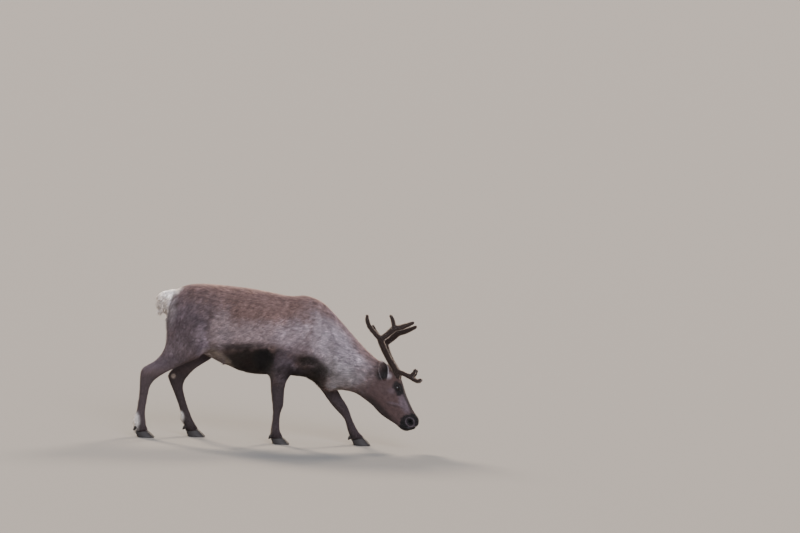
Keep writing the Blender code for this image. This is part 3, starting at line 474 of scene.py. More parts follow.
def horn_material():
    """Hoof horn. It is hard and waxy, with growth rings round it and fine streaks down it."""
    made, tree, shader = new_material("hoof_horn_waxy", Specular_IOR_Level=0.3)
    settings = bpy.context.scene.reindeer_horn
    place = add_node(tree, "ShaderNodeTexCoord")
    stretch = add_node(
        tree, "ShaderNodeMapping", {"Scale": (1.0, 1.0, 0.12)}, {"Vector": place.outputs["Object"]})
    streaks = add_node(
        tree, "ShaderNodeTexNoise", {"Scale": from_size(1.2), "Detail": 3.0},
        {"Vector": stretch.outputs["Vector"]})
    rings = add_node(
        tree, "ShaderNodeTexWave", {"Scale": from_size(7.0) / 6, "Distortion": 3.0, "Detail": 2.0},
        {"Vector": place.outputs["Object"]}, bands_direction="Z")
    base = add_node(tree, "ShaderNodeMix", links={"Factor": streaks.outputs["Fac"]}, data_type="RGBA")
    base.inputs["A"].default_value = (*settings.hoof, 1.0)
    base.inputs["B"].default_value = (*settings.hoof_worn, 1.0)
    tree.links.new(base.outputs["Result"], shader.inputs["Base Color"])
    rough = add_node(
        tree, "ShaderNodeMapRange", {"To Min": 0.45, "To Max": 0.70}, {"Value": streaks.outputs["Fac"]})
    tree.links.new(rough.outputs["Result"], shader.inputs["Roughness"])
    bump = add_node(
        tree, "ShaderNodeBump", {"Strength": 0.35, "Distance": 0.0012}, {"Height": rings.outputs["Fac"]})
    tree.links.new(bump.outputs["Normal"], shader.inputs["Normal"])
    return made


def eye_material():
    """A wet eye. The clear cornea throws a hard highlight over a nearly black iris."""
    made, tree, shader = new_material(
        "wet_eye", Roughness=0.20, IOR=1.33, Coat_Weight=0.25, Coat_Roughness=0.05)
    tone = add_node(tree, "ShaderNodeAttribute", attribute_name="iris")
    tree.links.new(tone.outputs["Color"], shader.inputs["Base Color"])
    return made


# The marks of the coat, each an oval seen from the side, in the order in which they are laid. A few of them
# are painted shade or painted light, as noted at each.
Mark = namedtuple("Mark", "colour place reach tilt soft strength")
BODY_MARKS = (
    Mark("rump", (-0.57, 0.72), (0.21, 0.17), 0, 0.7, 0.9),
    Mark("rump", (-0.45, 0.60), (0.07, 0.13), 10, 0.45, 0.8),
    Mark("rump", (-0.62, 0.56), (0.12, 0.09), 25, 0.6, 0.85),
    Mark("flank", (-0.62, 0.56), (0.10, 0.07), 25, 0.7, 0.15),
    Mark("flank", (-0.18, 0.675), (0.27, 0.080), 2, 0.55, 0.85),
    Mark("flank", (-0.370, 0.682), (0.058, 0.130), -6, 0.5, 0.88),
    Mark("shoulder", (-0.345, 0.655), (0.050, 0.040), -20, 0.8, 0.7),
    # Charcoal along the thigh's front edge, with painted shade in the crease between thigh and flank.
    Mark("leg", (-0.458, 0.700), (0.020, 0.120), 0, 0.6, 0.30),
    Mark("shoulder", (0.075, 0.680), (0.105, 0.090), 20, 0.6, 0.9),
    Mark("shoulder", (0.25, 0.64), (0.13, 0.20), 15, 0.6, 0.6),
    Mark("rump", (0.130, 0.585), (0.100, 0.040), -4, 0.8, 0.5),
    Mark("neck", (0.395, 0.600), (0.225, 0.145), -42, 0.5, 0.9),
    Mark("neck_pale", (0.385, 0.460), (0.13, 0.080), -25, 0.5, 0.9),
    Mark("back", (0.520, 0.605), (0.090, 0.035), -42, 0.6, 0.7),
    Mark("throat", (0.460, 0.330), (0.120, 0.017), -15, 0.5, 0.8),
    Mark("leg", (-0.235, 0.603), (0.130, 0.022), 4, 0.8, 0.65),
    Mark("belly", (-0.162, 0.500), (0.250, 0.110), 2, 0.36, 0.98),
    Mark("rump", (0.040, 0.475), (0.080, 0.110), 0, 0.40, 0.8),
    # Nearly black hair behind the elbow, with painted shade in the pocket between upper arm and trunk.
    Mark("black", (-0.092, 0.528), (0.064, 0.074), 8, 0.11, 1.0),
    Mark("groin", (-0.376, 0.510), (0.090, 0.042), -29, 0.4, 0.85),
    Mark("belly", (0.165, 0.445), (0.165, 0.055), 0, 0.5, 0.9),
    # Nearly black hair where the foreleg meets the chest, with painted shade along the crease there.
    Mark("black", (0.175, 0.532), (0.085, 0.036), -4, 0.55, 0.9),
    Mark("black", (0.262, 0.478), (0.050, 0.045), -35, 0.55, 0.85),
    Mark("leg", (0.125, 0.458), (0.045, 0.026), 0, 0.6, 0.7),
    Mark("belly", (0.235, 0.385), (0.072, 0.055), -30, 0.5, 0.9),
    Mark("neck_pale", (0.350, 0.385), (0.045, 0.045), 0, 0.5, 0.7),
    Mark("white", (-0.685, 0.922), (0.072, 0.040), 38, 0.3, 1.0),
    Mark("neck_pale", (-0.685, 0.835), (0.032, 0.110), 0, 0.8, 0.65),
    Mark("white", (-0.722, 0.800), (0.022, 0.085), 0, 0.4, 0.85),
)
HEAD_MARKS = (
    Mark("brow", (0.745, 0.455), (0.055, 0.060), 0, 0.5, 0.8),
    Mark("throat", (0.640, 0.247), (0.130, 0.024), -40, 0.6, 0.85),
    Mark("nose", (0.796, 0.290), (0.026, 0.062), 25, 0.6, 0.9),
    Mark("throat", (0.812, 0.310), (0.012, 0.100), 25, 0.5, 0.85),
    # A pale line over a dark one along the cheek: a painted highlight and painted shade of a fold.
    Mark("nose", (0.740, 0.284), (0.046, 0.007), -10, 0.8, 0.6),
    Mark("throat", (0.738, 0.270), (0.046, 0.005), -10, 0.8, 0.35),
    Mark("nose", (0.716, 0.362), (0.024, 0.018), 0, 0.8, 0.5),
    Mark("black", (0.632, 0.449), (0.020, 0.028), 15, 0.6, 0.85),
    Mark("neck_pale", (0.690, 0.452), (0.018, 0.018), 0, 0.7, 0.4),
    Mark("black", (0.850, 0.178), (0.077, 0.053), 0, 0.14, 0.97),
    Mark("black", (0.800, 0.142), (0.038, 0.026), -30, 0.4, 0.9),
    Mark("nose", (0.867, 0.155), (0.009, 0.004), -20, 0.5, 0.5),
)


def shade(label, words, hex_colour):
    return bpy.props.FloatVectorProperty(
        name=label, description=words, subtype="COLOR", min=0.0, max=1.0, default=linear(hex_colour))


def metres(label, words, value):
    return bpy.props.FloatProperty(name=label, description=words, default=value, unit="LENGTH")


def degrees(label, words, value):
    return bpy.props.FloatProperty(
        name=label, description=words, default=math.radians(value), subtype="ANGLE")


class CoatSettings(bpy.types.PropertyGroup):
    """The coat's lengths, counts and colours."""

    trunk_hair: metres("Trunk hair", "Length of a tuft on the trunk", 0.028)
    neck_hair: metres("Neck hair", "Length of a tuft on the neck", 0.034)
    leg_hair: metres("Leg hair", "Length of a tuft on the legs", 0.012)
    face_hair: metres("Face hair", "Length of a tuft on the cheeks", 0.009)
    tail_hair: metres("Tail hair", "Length of a lock on the tail", 0.050)
    tufts: bpy.props.IntProperty(
        name="Tufts", description="Tufts on each piece of the trunk and neck", default=42000)
    short_tufts: bpy.props.IntProperty(
        name="Short tufts", description="Tufts on the head and on each pair of legs", default=38000)
    back: shade("Back", "Brown grey of the back", "#947973")
    rump: shade("Rump", "Dark grey of the rump and thigh", "#756870")
    flank: shade("Flank", "Pale grey band low on the flank", "#bda9ac")
    shoulder: shade("Shoulder", "Pale grey of the shoulder", "#b6a6ac")
    neck: shade("Neck", "Mottled grey of the neck", "#c3b7be")
    neck_pale: shade("Pale neck", "Palest hair low on the neck", "#c0b7ba")
    belly: shade("Belly", "Dark brown of the belly", "#140803")
    black: shade("Black", "Nearly black hair of the muzzle, orbit and elbow", "#0d0a0a")
    groin: shade("Groin", "Beige hair of the groin", "#b0a093")
    leg: shade("Legs", "Charcoal of the legs", "#463d41")
    face: shade("Face", "Brown grey of the face", "#4a3937")
    brow: shade("Brow", "Dark brown of the forehead", "#46332f")
    nose: shade("Nose", "Lilac grey of the side of the nose", "#5b4e53")
    throat: shade("Throat", "Dark hair under the throat", "#2c2422")
    white: shade("White", "White hair of tail and pasterns", "#fffaf4")


class HornSettings(bpy.types.PropertyGroup):
    """The colours of antlers, hooves and eyes."""

    velvet: shade("Velvet", "Dark brown velvet", "#1d1512")
    velvet_worn: shade("Pale velvet", "Velvet where the nap is turned", "#2c211d")
    fuzz: shade("Fuzz", "Pale tips of the velvet's nap", "#8a7565")
    hoof: shade("Hoof", "Horn of the hooves", "#151211")
    hoof_worn: shade("Worn hoof", "Horn where it is scuffed", "#342e2b")
    iris: shade("Iris", "Dark brown iris", "#1c120c")


class StageSettings(bpy.types.PropertyGroup):
    """The camera's place and the studio's light."""

    distance: metres("Distance", "From the camera to the animal", 40.0)
    elevation: degrees("Elevation", "How far the camera looks down", 5)
    roll: degrees("Roll", "How far the ground falls away to the right", 3)
    view_width: metres("View width", "Width of the view at the animal", 4.96)
    floor: shade("Floor", "Pale floor", "#7d7a75")


def leg_share(built):
    """How far each place belongs to a leg rather than to the trunk or the head."""
    x, y, z = built.T
    hind = smooth_step(0.56, 0.43, z) * (x < HIND_LEGS_FROM)
    near = smooth_step(0.46, 0.34, z) * (np.abs(x) < 0.2) * (y < 0)
    far = smooth_step(0.385, 0.31, z) * (x > 0.15) * (x < 0.50) * (y > 0.03)
    behind_head = x < 0.50 + 0.6 * (0.30 - z)
    under = (z < 0.30) * behind_head
    return np.maximum(np.maximum(hind, near), np.maximum(far, under))


def neck_share(built):
    return smooth_step(-0.06, 0.06, ahead_of(built, NECK_LINE))


def head_share(built):
    return smooth_step(-0.03, 0.04, ahead_of(built, POLL_LINE)) * (1 - leg_share(built))


def tail_share(built):
    """1 on the tail, seen from the side as a band along its line."""
    near = smooth_step(0.052, 0.040, line_distance(built, TAIL_LINE))
    near *= smooth_step(0.085, 0.065, np.abs(built[:, 1]))
    return near * smooth_step(-0.665, -0.685, built[:, 0])


def cleft_share(built):
    """1 in the middle of the cleft between the hams, below the tail."""
    behind = smooth_step(-0.56, -0.66, built[:, 0]) * dome(built[:, 2] - 0.60, 0.19)
    return behind * dome(built[:, 1], 0.055)


def heel_share(built):
    """1 in the middle of the white hair behind each hind fetlock."""
    near, far = (
        dome(np.hypot(built[:, 0] - x, 0.6 * (built[:, 2] - z)), reach) for x, z, reach in HEELS)
    return np.maximum(near, far)


def ear_axes():
    """The right ear's way up, its way out of the cup and its way across."""
    rise = (EAR_TIP - EAR_BASE).normalized()
    opens = (EAR_OPENS - rise * EAR_OPENS.dot(rise)).normalized()
    return np.array(rise), np.array(opens), np.array(rise.cross(opens))


def ear_place(face):
    """Height on the ear from 0 to 1, how far aside in half widths, and how far out of its cup."""
    rise, opens, across = ear_axes()
    local = on_left(face) * (1, -1, 1) - np.array(EAR_BASE)
    height = (local @ rise) / EAR_HEIGHT
    width = np.interp(height, np.linspace(0, 1, len(EAR_WIDTHS)), EAR_WIDTHS)
    aside = (local @ across - 0.003 - 0.0055 * height) / width
    return height, aside, local @ opens - 0.012


def ear_share(face):
    """1 on the ears of the straight head."""
    height, aside, out = ear_place(face)
    within = (height < 1.15) * (np.abs(aside) < 1.2) * (np.abs(out) < 0.021)
    return smooth_step(0.00, 0.14, height) * within


def eye_place(face):
    """How far along, across and out of the eye each place is, and 1 at its opening's rim, less inside."""
    local = on_left(face) - np.array(EYE_CENTRE)
    out, slit = np.array(EYE_LOOKS), np.array(EYE_SLIT)
    slit = slit - out * (slit @ out)
    slit /= np.linalg.norm(slit)
    along, across, height = local @ slit, local @ np.cross(out, slit), local @ out
    almond = (np.abs(along) / EYE_OPENING[0]) ** 1.6 + (np.abs(across) / EYE_OPENING[1]) ** 1.6
    return along, across, height, almond


def orbit_distance(face):
    """How far each place is from a little ahead of the nearer eyeball, counting less along the face."""
    local = on_left(face) - np.array(EYE_CENTRE) - (0.010, 0.0, -0.003)
    along = local @ np.array(FACE_AXIS)
    return np.linalg.norm(local - 0.30 * along[:, None] * np.array(FACE_AXIS), axis=1)


def nostril_distance(face):
    """How far each place is from the middle of the nostril, hardly counting how deep it is."""
    local = (on_left(face) - np.array(NOSTRIL)) * (1, 0.4, 1)
    slant = np.array(NOSTRIL_SLANT)
    slanted = local @ slant
    across = np.linalg.norm(local - slanted[:, None] * slant, axis=1)
    return np.hypot(slanted / 1.15, across)


def bareness(points):
    """1 where there is no hair: the eye's opening, the nostril and the lips' edge."""
    face = straight(points)
    on_head = face[:, 0] > 0.70
    height, almond = eye_place(face)[2:]
    eye = smooth_step(1.35, 1.05, almond) * (height > -0.02)
    nostril = smooth_step(0.0185, 0.0150, nostril_distance(face))
    lips = smooth_step(0.0055, 0.0030, line_distance(face, LIP_LINE)) * (face[:, 0] > 0.768)
    return np.maximum(np.maximum(eye, nostril), lips) * on_head


def laid(colours, points, marks, settings):
    """The colours with each mark laid over them in turn."""
    ragged = 0.10 * mottle(points, 0.035, 3) + 0.06 * mottle(points, 0.012, 4)
    for mark in marks:
        tilt = math.radians(mark.tilt)
        dx, dz = points[:, 0] - mark.place[0], points[:, 2] - mark.place[1]
        along = (dx * math.cos(tilt) + dz * math.sin(tilt)) / mark.reach[0]
        across = (dz * math.cos(tilt) - dx * math.sin(tilt)) / mark.reach[1]
        share = smooth_step(1 + mark.soft, 1 - mark.soft, np.hypot(along, across) + ragged)
        colours = mixed(colours, getattr(settings, mark.colour), share * mark.strength)
    return colours


def ear_rim(face):
    """How near each place is to the ear's rim, from 0 along its middle to 1 at the rim."""
    height, aside = ear_place(face)[:2]
    return np.maximum(np.abs(aside), smooth_step(0.84, 1.0, height))


def leg_marks(colours, built, normals, settings):
    """Charcoal legs, with painted shade on the insides of the hind legs, a painted pale rim of light along
    the legs' back edges, and white hind heels.
    """
    x, y, z = built.T
    legs = leg_share(built)
    behind = x < HIND_LEGS_FROM
    shank = smooth_step(0.36, 0.46, z) * behind
    # Painted shade on the hind legs' sides that face each other.
    inner_painted_shade = smooth_step(-0.1, 0.5, -normals[:, 1] * np.sign(y)) * behind * smooth_step(0.60, 0.50, z)
    # A painted pale rim of light along the legs' back edges, which face the lights behind.
    painted_back_rim = smooth_step(-0.70, -0.97, normals[:, 0]) * legs * smooth_step(0.05, 0.12, z)
    fore_heel = dome(np.hypot(x + 0.040, 0.5 * (z - 0.080)), 0.026)
    hock = dome(np.hypot(x + 0.655, z - 0.372), 0.020) * (y < 0.09) * (y > 0.02)
    for colour, share in (
        (settings.rump, 0.9 * shank * smooth_step(0.56, 0.47, z)),
        (settings.leg, (0.95 - 0.06 * behind) * legs * (1 - 0.7 * shank)),
        (settings.belly, 0.45 * inner_painted_shade),
        (settings.groin, 0.6 * painted_back_rim),
        (settings.white, np.clip(2.2 * heel_share(built), 0, 1) * legs),
        (settings.groin, np.clip(1.4 * fore_heel, 0, 0.8) * legs),
        (settings.groin, np.clip(1.6 * hock, 0, 0.9)),
    ):
        colours = mixed(colours, colour, share)
    return colours


def ear_marks(colours, face, normals, settings):
    """Painted shade in the ear's cup, a thin pale rim, and pale hair before the ear's root."""
    rise, opens = ear_axes()[:2]
    mirror = np.where(face[:, 1:2] > 0, (1, -1, 1), (1, 1, 1))
    inward = np.array(Matrix.Rotation(-HEAD_TURN, 3, HEAD_DORSAL))
    facing = smooth_step(-0.45, -0.10, ((normals @ inward.T) * mirror) @ opens)
    share = ear_share(face)
    height, aside = ear_place(face)[:2]
    # The hollow of the cup is painted nearly black, as painted shade.
    cup = share * facing * smooth_step(0.02, 0.20, height)
    front = smooth_step(-0.5, 0.5, aside)
    rim = share * smooth_step(0.84, 0.95, ear_rim(face)) * (0.30 + 0.15 * front)
    root = np.array(EAR_BASE) + rise * 0.035 + np.array((0.026, 0.0, 0.0))
    tuft = dome(np.linalg.norm(face * mirror - root, axis=1), 0.020) * (1 - share)
    colours = mixed(colours, settings.throat, 0.85 * share)
    colours = mixed(colours, settings.black, 0.95 * cup)
    colours = mixed(colours, settings.neck_pale, rim)
    return mixed(colours, settings.neck_pale, np.clip(1.6 * tuft, 0, 0.5))


def markings(points, normals):
    """The coat's colour at each point, with painted shade and painted light laid into it in places."""
    settings = bpy.context.scene.reindeer_coat
    built = unshifted(points)
    face = straight(points)
    legs, head, neck = leg_share(built), head_share(built), neck_share(built)
    colours = laid(np.tile(np.array(settings.back), (len(points), 1)), built, BODY_MARKS, settings)
    crest = smooth_step(0.060, 0.010, line_distance(built, CREST_LINE))
    colours = mixed(colours, settings.back, 0.75 * crest)
    flecks = smooth_step(0.25, 0.95, mottle(points * (1, 1, 0.8), 0.011, 12))
    colours = mixed(colours, settings.rump, 0.65 * flecks * neck * (1 - legs))
    colours = leg_marks(colours, built, normals, settings)
    on_face = laid(np.tile(np.array(settings.face), (len(points), 1)), face, HEAD_MARKS, settings)
    orbit = smooth_step(0.043, 0.024, orbit_distance(face) + 0.004 * mottle(face, 0.014, 13))
    on_face = mixed(on_face, settings.black, 0.92 * orbit)
    nostril = nostril_distance(face)
    ring = dome(np.abs(nostril - 0.0250), 0.0062) * (0.7 + 0.4 * mottle(face, 0.02, 14))
    on_face = mixed(on_face, settings.rump, 0.45 * np.clip(ring, 0, 1))
    on_face = mixed(on_face, settings.black, smooth_step(0.018, 0.013, nostril))
    on_face = ear_marks(on_face, face, normals, settings)
    to_face = smooth_step(-0.09, 0.05, ahead_of(built, POLL_LINE)) * (1 - legs)
    colours = mixed(colours, on_face, to_face)
    # Painted shade in the cleft between the hams, in the belly's dark brown.
    colours = mixed(colours, settings.belly, 0.75 * cleft_share(built) ** 2)
    tail = tail_share(built)
    colours = mixed(colours, settings.white, tail)
    colours = mixed(colours, settings.groin, 0.6 * tail * smooth_step(0.92, 0.85, built[:, 2]))
    trunk = (1 - legs) * (1 - head)
    spotted = (0.45 + 0.55 * neck * (1 - head)) * (1 - legs)
    patchy = 0.19 * mottle(points * (1, 1, 0.6), 0.018, 8) * spotted
    streaks = 0.20 * mottle(points * (1, 1, 0.35), 0.011, 9) * trunk
    speckle = mottle(points * (0.6, 1, 1), 0.008, 10) * (0.09 + 0.17 * trunk)
    return colours * np.exp(patchy + streaks + speckle)[:, None]


def hair_length(points):
    """How long the hair is at each point."""
    settings = bpy.context.scene.reindeer_coat
    built = unshifted(points)
    face = straight(points)
    neck, legs, head = neck_share(built), leg_share(built), head_share(built)
    length = mixed(np.full(len(points), settings.trunk_hair), settings.neck_hair, neck)
    under = dome(np.hypot((built[:, 0] - 0.365) / 1.2, built[:, 2] - 0.365), 0.06) * (1 - legs)
    length = mixed(length + 0.010 * under, settings.leg_hair, legs)
    to_muzzle = smooth_step(0.10, 0.30, (face - np.array(NECK_PIVOT)) @ np.array(FACE_AXIS))
    length = mixed(length, settings.face_hair * (1 - 0.55 * to_muzzle), head)
    length += (0.009 * smooth_step(0.12, 0.07, built[:, 2]) + 0.020 * heel_share(built)) * legs
    elbow = dome(from_side(built, (-0.045, 0.550)), 0.085) * (1 - legs)
    length -= 0.016 * elbow
    length += (0.004 * smooth_step(0.75, 0.95, ear_rim(face)) - 0.002) * ear_share(face)
    hanging = settings.tail_hair * (0.75 + 0.25 * smooth_step(0.80, 0.89, built[:, 2]))
    return mixed(length, hanging, tail_share(built))


def coat_depth(points):
    """How far the skin lies inside the solids."""
    built = unshifted(points)
    depth = mixed(np.full(len(points), TRUNK_DEPTH), LEG_DEPTH, leg_share(built))
    depth = mixed(depth, HEAD_DEPTH, head_share(built))
    return mixed(depth, TAIL_DEPTH, tail_share(built))


def hair_rise(points):
    """How high the tips stand off the skin. Heels, pasterns and the tail's root are the fluffiest."""
    built = unshifted(points)
    tail_root = tail_share(built) * smooth_step(0.86, 0.92, built[:, 2])
    pastern = smooth_step(0.09, 0.06, built[:, 2])
    feet = (0.018 * heel_share(built) + 0.006 * pastern) * leg_share(built)
    behind = smooth_step(-0.655, -0.695, built[:, 0]) * smooth_step(0.58, 0.66, built[:, 2])
    behind *= 1 - tail_share(built)
    return coat_depth(points) + 0.010 * tail_root + 0.011 * behind + feet


def tail_flow(built):
    """The way that the tail's hair hangs: along its line and a little outwards to both sides."""
    ways = nearest_on(built, TAIL_LINE)[1]
    inward = 0.35 * smooth_step(0.87, 0.79, built[:, 2])
    return np.stack([ways[:, 0] + inward, built[:, 1] * 4, ways[:, 1]], axis=1)


def lie_of_coat(points, normals):
    """The direction in which the hair lies at each point, along the skin."""
    built = unshifted(points)
    face = straight(points)
    lie = np.tile(np.array((-0.90, 0.0, -0.42)), (len(points), 1))
    lie = mixed(lie, (-0.40, 0.0, -0.90), smooth_step(-0.45, -0.62, built[:, 0]))
    lie = mixed(lie, (-0.93, 0.0, 0.05), neck_share(built))
    lie = mixed(lie, (-0.18, 0.0, -0.98), leg_share(built))
    turn = np.array(Matrix.Rotation(HEAD_TURN, 3, HEAD_DORSAL))
    lie = mixed(lie, turn @ np.array((-0.78, 0.0, 0.62)), head_share(built))
    lie = mixed(lie, tail_flow(built), tail_share(built))
    up_the_ear = turn @ np.array((-0.15, 0.0, 0.95)) + np.sign(face[:, 1:2]) * (0, 0.5, 0)
    lie = mixed(lie, up_the_ear, ear_share(face))
    lie += 0.16 * np.stack([mottle(points, 0.06, seed) for seed in (21, 22, 23)], axis=1)
    lie -= normals * (lie * normals).sum(axis=1, keepdims=True)
    return unit(lie)


# The skin.
def in_head(points):
    return head_share(unshifted(points)) > 0.5


def near_features(points):
    face = straight(points)
    at_eye = np.linalg.norm(on_left(face) - np.array(EYE_CENTRE), axis=1) < 0.029
    at_nostril = nostril_distance(face) < 0.027
    at_lips = (line_distance(face, LIP_LINE) < 0.009) & (face[:, 0] > 0.765)
    return at_eye | at_nostril | at_lips


def dome_height(radial, radius):
    """The height of a ball over its middle plane, and far below it beyond its rim."""
    return np.sqrt(np.clip(radius**2 - radial**2, 0, None)) - 3.0 * np.clip(radial - radius, 0, None)


def shape_eyes(points):
    """Lids that lie over the eyeball and leave an almond open, on both sides."""
    along, across, height, almond = eye_place(points)
    radial = np.hypot(along, across)
    shut = smooth_step(0.85, 1.25, almond)
    upper = across > 0
    fold = 0.0012 * dome(np.abs(almond - 2.6), 1.1) * upper
    lid = dome_height(radial, EYE_RADIUS + 0.0024 + 0.0008 * upper) - fold
    bare = dome_height(radial, EYE_RADIUS) - 0.0030
    closed = np.logaddexp(height * 500, lid * 500) / 500
    target = closed * shut + np.minimum(height, bare) * (1 - shut)
    near = (radial < EYE_RADIUS * 1.35) & (height > -0.02)
    out = np.array(EYE_LOOKS) * np.where(points[:, 1:2] < 0, (1, -1, 1), (1, 1, 1))
    return points + ((target - height) * near)[:, None] * out


# Fine lines of the face: line seen from the side, how deep and how wide.
FACE_LINES = (
    (((0.757, 0.366), (0.770, 0.349), (0.777, 0.332)), 0.0016, 0.006),
    (((0.771, 0.167), (0.766, 0.178), (0.768, 0.190)), 0.0012, 0.005),
    (((0.700, 0.300), (0.672, 0.270), (0.652, 0.232)), 0.0014, 0.016),
    (((0.812, 0.205), (0.806, 0.188), (0.812, 0.170)), 0.0014, 0.006),
)


# Folds of the body: line seen from the side, how deep and how wide.
BODY_LINES = (
    (((-0.425, 0.540), (-0.455, 0.640), (-0.450, 0.770)), 0.0070, 0.050),
    (((-0.060, 0.480), (-0.075, 0.540), (-0.060, 0.600)), 0.0080, 0.045),
    (((0.110, 0.500), (0.180, 0.535), (0.265, 0.480)), 0.0070, 0.040),
    (((0.020, 0.720), (0.020, 0.810), (0.045, 0.870)), 0.0065, 0.042),
    (((0.270, 0.800), (0.300, 0.680), (0.310, 0.560)), 0.0035, 0.055),
    (((-0.690, 0.500), (-0.740, 0.470), (-0.800, 0.440)), 0.0030, 0.018),
)


def shape_body(data):
    """Presses in the folds by elbow, shoulder, thigh and shank, and the cleft between the hams."""
    points, normals = points_of(data), normals_of(data)
    built = unshifted(points)
    moved = np.zeros(len(points))
    for line, depth, width in BODY_LINES:
        moved -= depth * dome(line_distance(built, line), width) * (np.abs(built[:, 1]) > 0.05)
    moved -= 0.030 * cleft_share(built)
    store_points(data, points + normals * moved[:, None])


def shape_face(obj):
    """Carves the mouth, nostrils, lids and fine lines, with the head laid straight."""
    data = obj.data
    data.transform(HEAD_POSE.inverted())
    data.update()
    points, normals = points_of(data), normals_of(data)
    lips = line_distance(points, LIP_LINE)
    moved = -0.0048 * dome(lips, 0.0042) + 0.0022 * dome(lips, 0.013)
    moved *= np.clip((points[:, 0] - 0.763) / 0.01, 0, 1)
    nostril = nostril_distance(points)
    moved += -0.019 * dome(nostril, 0.0160) + 0.0030 * dome(np.abs(nostril - 0.0185), 0.009)
    for line, depth, width in FACE_LINES:
        moved -= depth * dome(line_distance(points, line), width) * (np.abs(points[:, 1]) > 0.02)
    points = points + normals * moved[:, None]
    store_points(data, shape_eyes(points))
    data.transform(HEAD_POSE)
    data.update()


def add_ears(skin):
    """Joins to the skin a smooth copy of each ear, with its root sunk in the head."""
    for side in ("left", "right"):
        ear = object_from(sewn_copy(["ear_" + side]), "ear")
        subdivide(ear, 2)
        low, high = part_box("ear_" + side)
        into = (HEAD_POSE @ Vector((0.67, 0.0, 0.42)) - (low + high) / 2).normalized() * 0.006
        ear.data.transform(Matrix.Translation(into))
        union = skin.modifiers.new("ear", "BOOLEAN")
        union.operation = "UNION"
        union.object = ear
        union.solver = "EXACT"
        apply_modifiers(skin)
        bpy.data.objects.remove(ear)


def beam_foot(side):
    """The middle of the antler beam where it leaves the head, and the way that it grows."""
    points = points_of(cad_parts["antler_" + side + "_beam"].data)
    low = points[:, 2].min()
    foot = Vector(points[points[:, 2] < low + 0.03].mean(axis=0))
    above = Vector(points[(points[:, 2] > low + 0.06) & (points[:, 2] < low + 0.10)].mean(axis=0))
    return foot, (above - foot).normalized()


def make_skin():
    """One closed surface round all the flesh, drawn in by the coat's depth, with face and ears."""
    whole = sewn_copy(FLESH, 0.0006)
    for side in (1, -1):
        mirror = Vector((1, side, 1))
        add_ball(whole, HEAD_POSE @ (EYE_CENTRE * mirror), EYE_RADIUS)
        add_ball(whole, HEAD_POSE @ (MUZZLE_PAD * mirror), MUZZLE_PAD_RADIUS)
    for side in ("left", "right"):
        foot, grows = beam_foot(side)
        add_ball(whole, foot - grows * 0.004, ANTLER_SEAT_RADIUS)
    skin = object_from(whole, "skin")
    fuse(skin, SKIN_VOXEL)
    built = unshifted(points_of(skin.data))
    relax(skin.data, 16, 0.5 - 0.36 * head_share(built) - 0.20 * leg_share(built))
    built = unshifted(points_of(skin.data))
    creased = np.zeros(len(built))
    for place in CREASES:
        creased = np.maximum(creased, dome(from_side(built, place), 0.055))
    relax(skin.data, 40, 0.5 * creased * (1 - leg_share(built)))
    points = points_of(skin.data)
    store_points(skin.data, points - normals_of(skin.data) * coat_depth(points)[:, None])
    shape_body(skin.data)
    refine(skin, in_head)
    relax(skin.data, 4, 0.4 * in_head(points_of(skin.data)))
    for _ in range(2):
        refine(skin, near_features)
        relax(skin.data, 2, 0.4 * near_features(points_of(skin.data)))
    shape_face(skin)
    add_ears(skin)
    skin.data.shade_smooth()
    skin.data.materials.clear()
    skin.data.materials.append(skin_material())
    colour_skin(skin.data)
    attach(skin, "root")
    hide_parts(*FLESH, "ear_left", "ear_right")


def colour_skin(data):
    """The coat's colours, darker than the tufts over them as painted shade under the coat, and where the
    skin is bare or on the face.
    """
    points = points_of(data)
    on_face = head_share(unshifted(points))
    # The skin is painted darker than the tufts, as the shade under the coat; less so on the face.
    paint(data, "coat", markings(points, normals_of(data)) * (0.8 + 0.15 * on_face)[:, None])
    for name, values in (("bare", bareness(points)), ("face", on_face)):
        layer = data.attributes.new(name, "FLOAT", "POINT")
        layer.data.foreach_set("value", values.astype(np.float32))


# The coat.
def tuft_template(rings):
    """One tuft, from its root at 0 to its tip at 1, as points (along, across, up) and triangles."""
    mesh = bmesh.new()
    bmesh.ops.create_cone(mesh, cap_ends=True, segments=3, radius1=0.5, radius2=0.0, depth=1.0)
    bmesh.ops.remove_doubles(mesh, verts=mesh.verts, dist=1e-4)
    for ring in range(1, rings):
        everything = mesh.verts[:] + mesh.edges[:] + mesh.faces[:]
        bmesh.ops.bisect_plane(
            mesh, geom=everything, plane_co=(0, 0, ring / rings - 0.5), plane_no=(0, 0, 1))
    bmesh.ops.triangulate(mesh, faces=mesh.faces)
    mesh.verts.index_update()
    points = np.array([(vert.co.z + 0.5, vert.co.x, vert.co.y) for vert in mesh.verts])
    faces = np.array([[vert.index for vert in face.verts] for face in mesh.faces])
    mesh.free()
    taper = 1 / np.maximum(1 - points[:, 0], 1e-3)
    points[:, 1:] *= np.where(points[:, :1] < 0.999, taper[:, None], 0)
    return points, faces


def scatter(points, normals, triangles, wanted, count, rng):
    """Roots spread over the triangles by how much each is wanted, and the way out of the skin at each."""
    a, b, c = (points[triangles[:, corner]] for corner in range(3))
    area = np.linalg.norm(np.cross(b - a, c - a), axis=1) / 2 * wanted
    reach = np.cumsum(area)
    drawn = (np.arange(count) + rng.random(count)) / count * reach[-1]
    index = np.clip(np.searchsorted(reach, drawn), 0, len(triangles) - 1)
    u, v = rng.random(count), rng.random(count)
    over = u + v > 1
    u, v = np.where(over, 1 - u, u), np.where(over, 1 - v, v)
    roots = a[index] + (b - a)[index] * u[:, None] + (c - a)[index] * v[:, None]
    weights = np.stack([1 - u - v, u, v], axis=1)
    return roots, unit((normals[triangles[index]] * weights[..., None]).sum(axis=1))


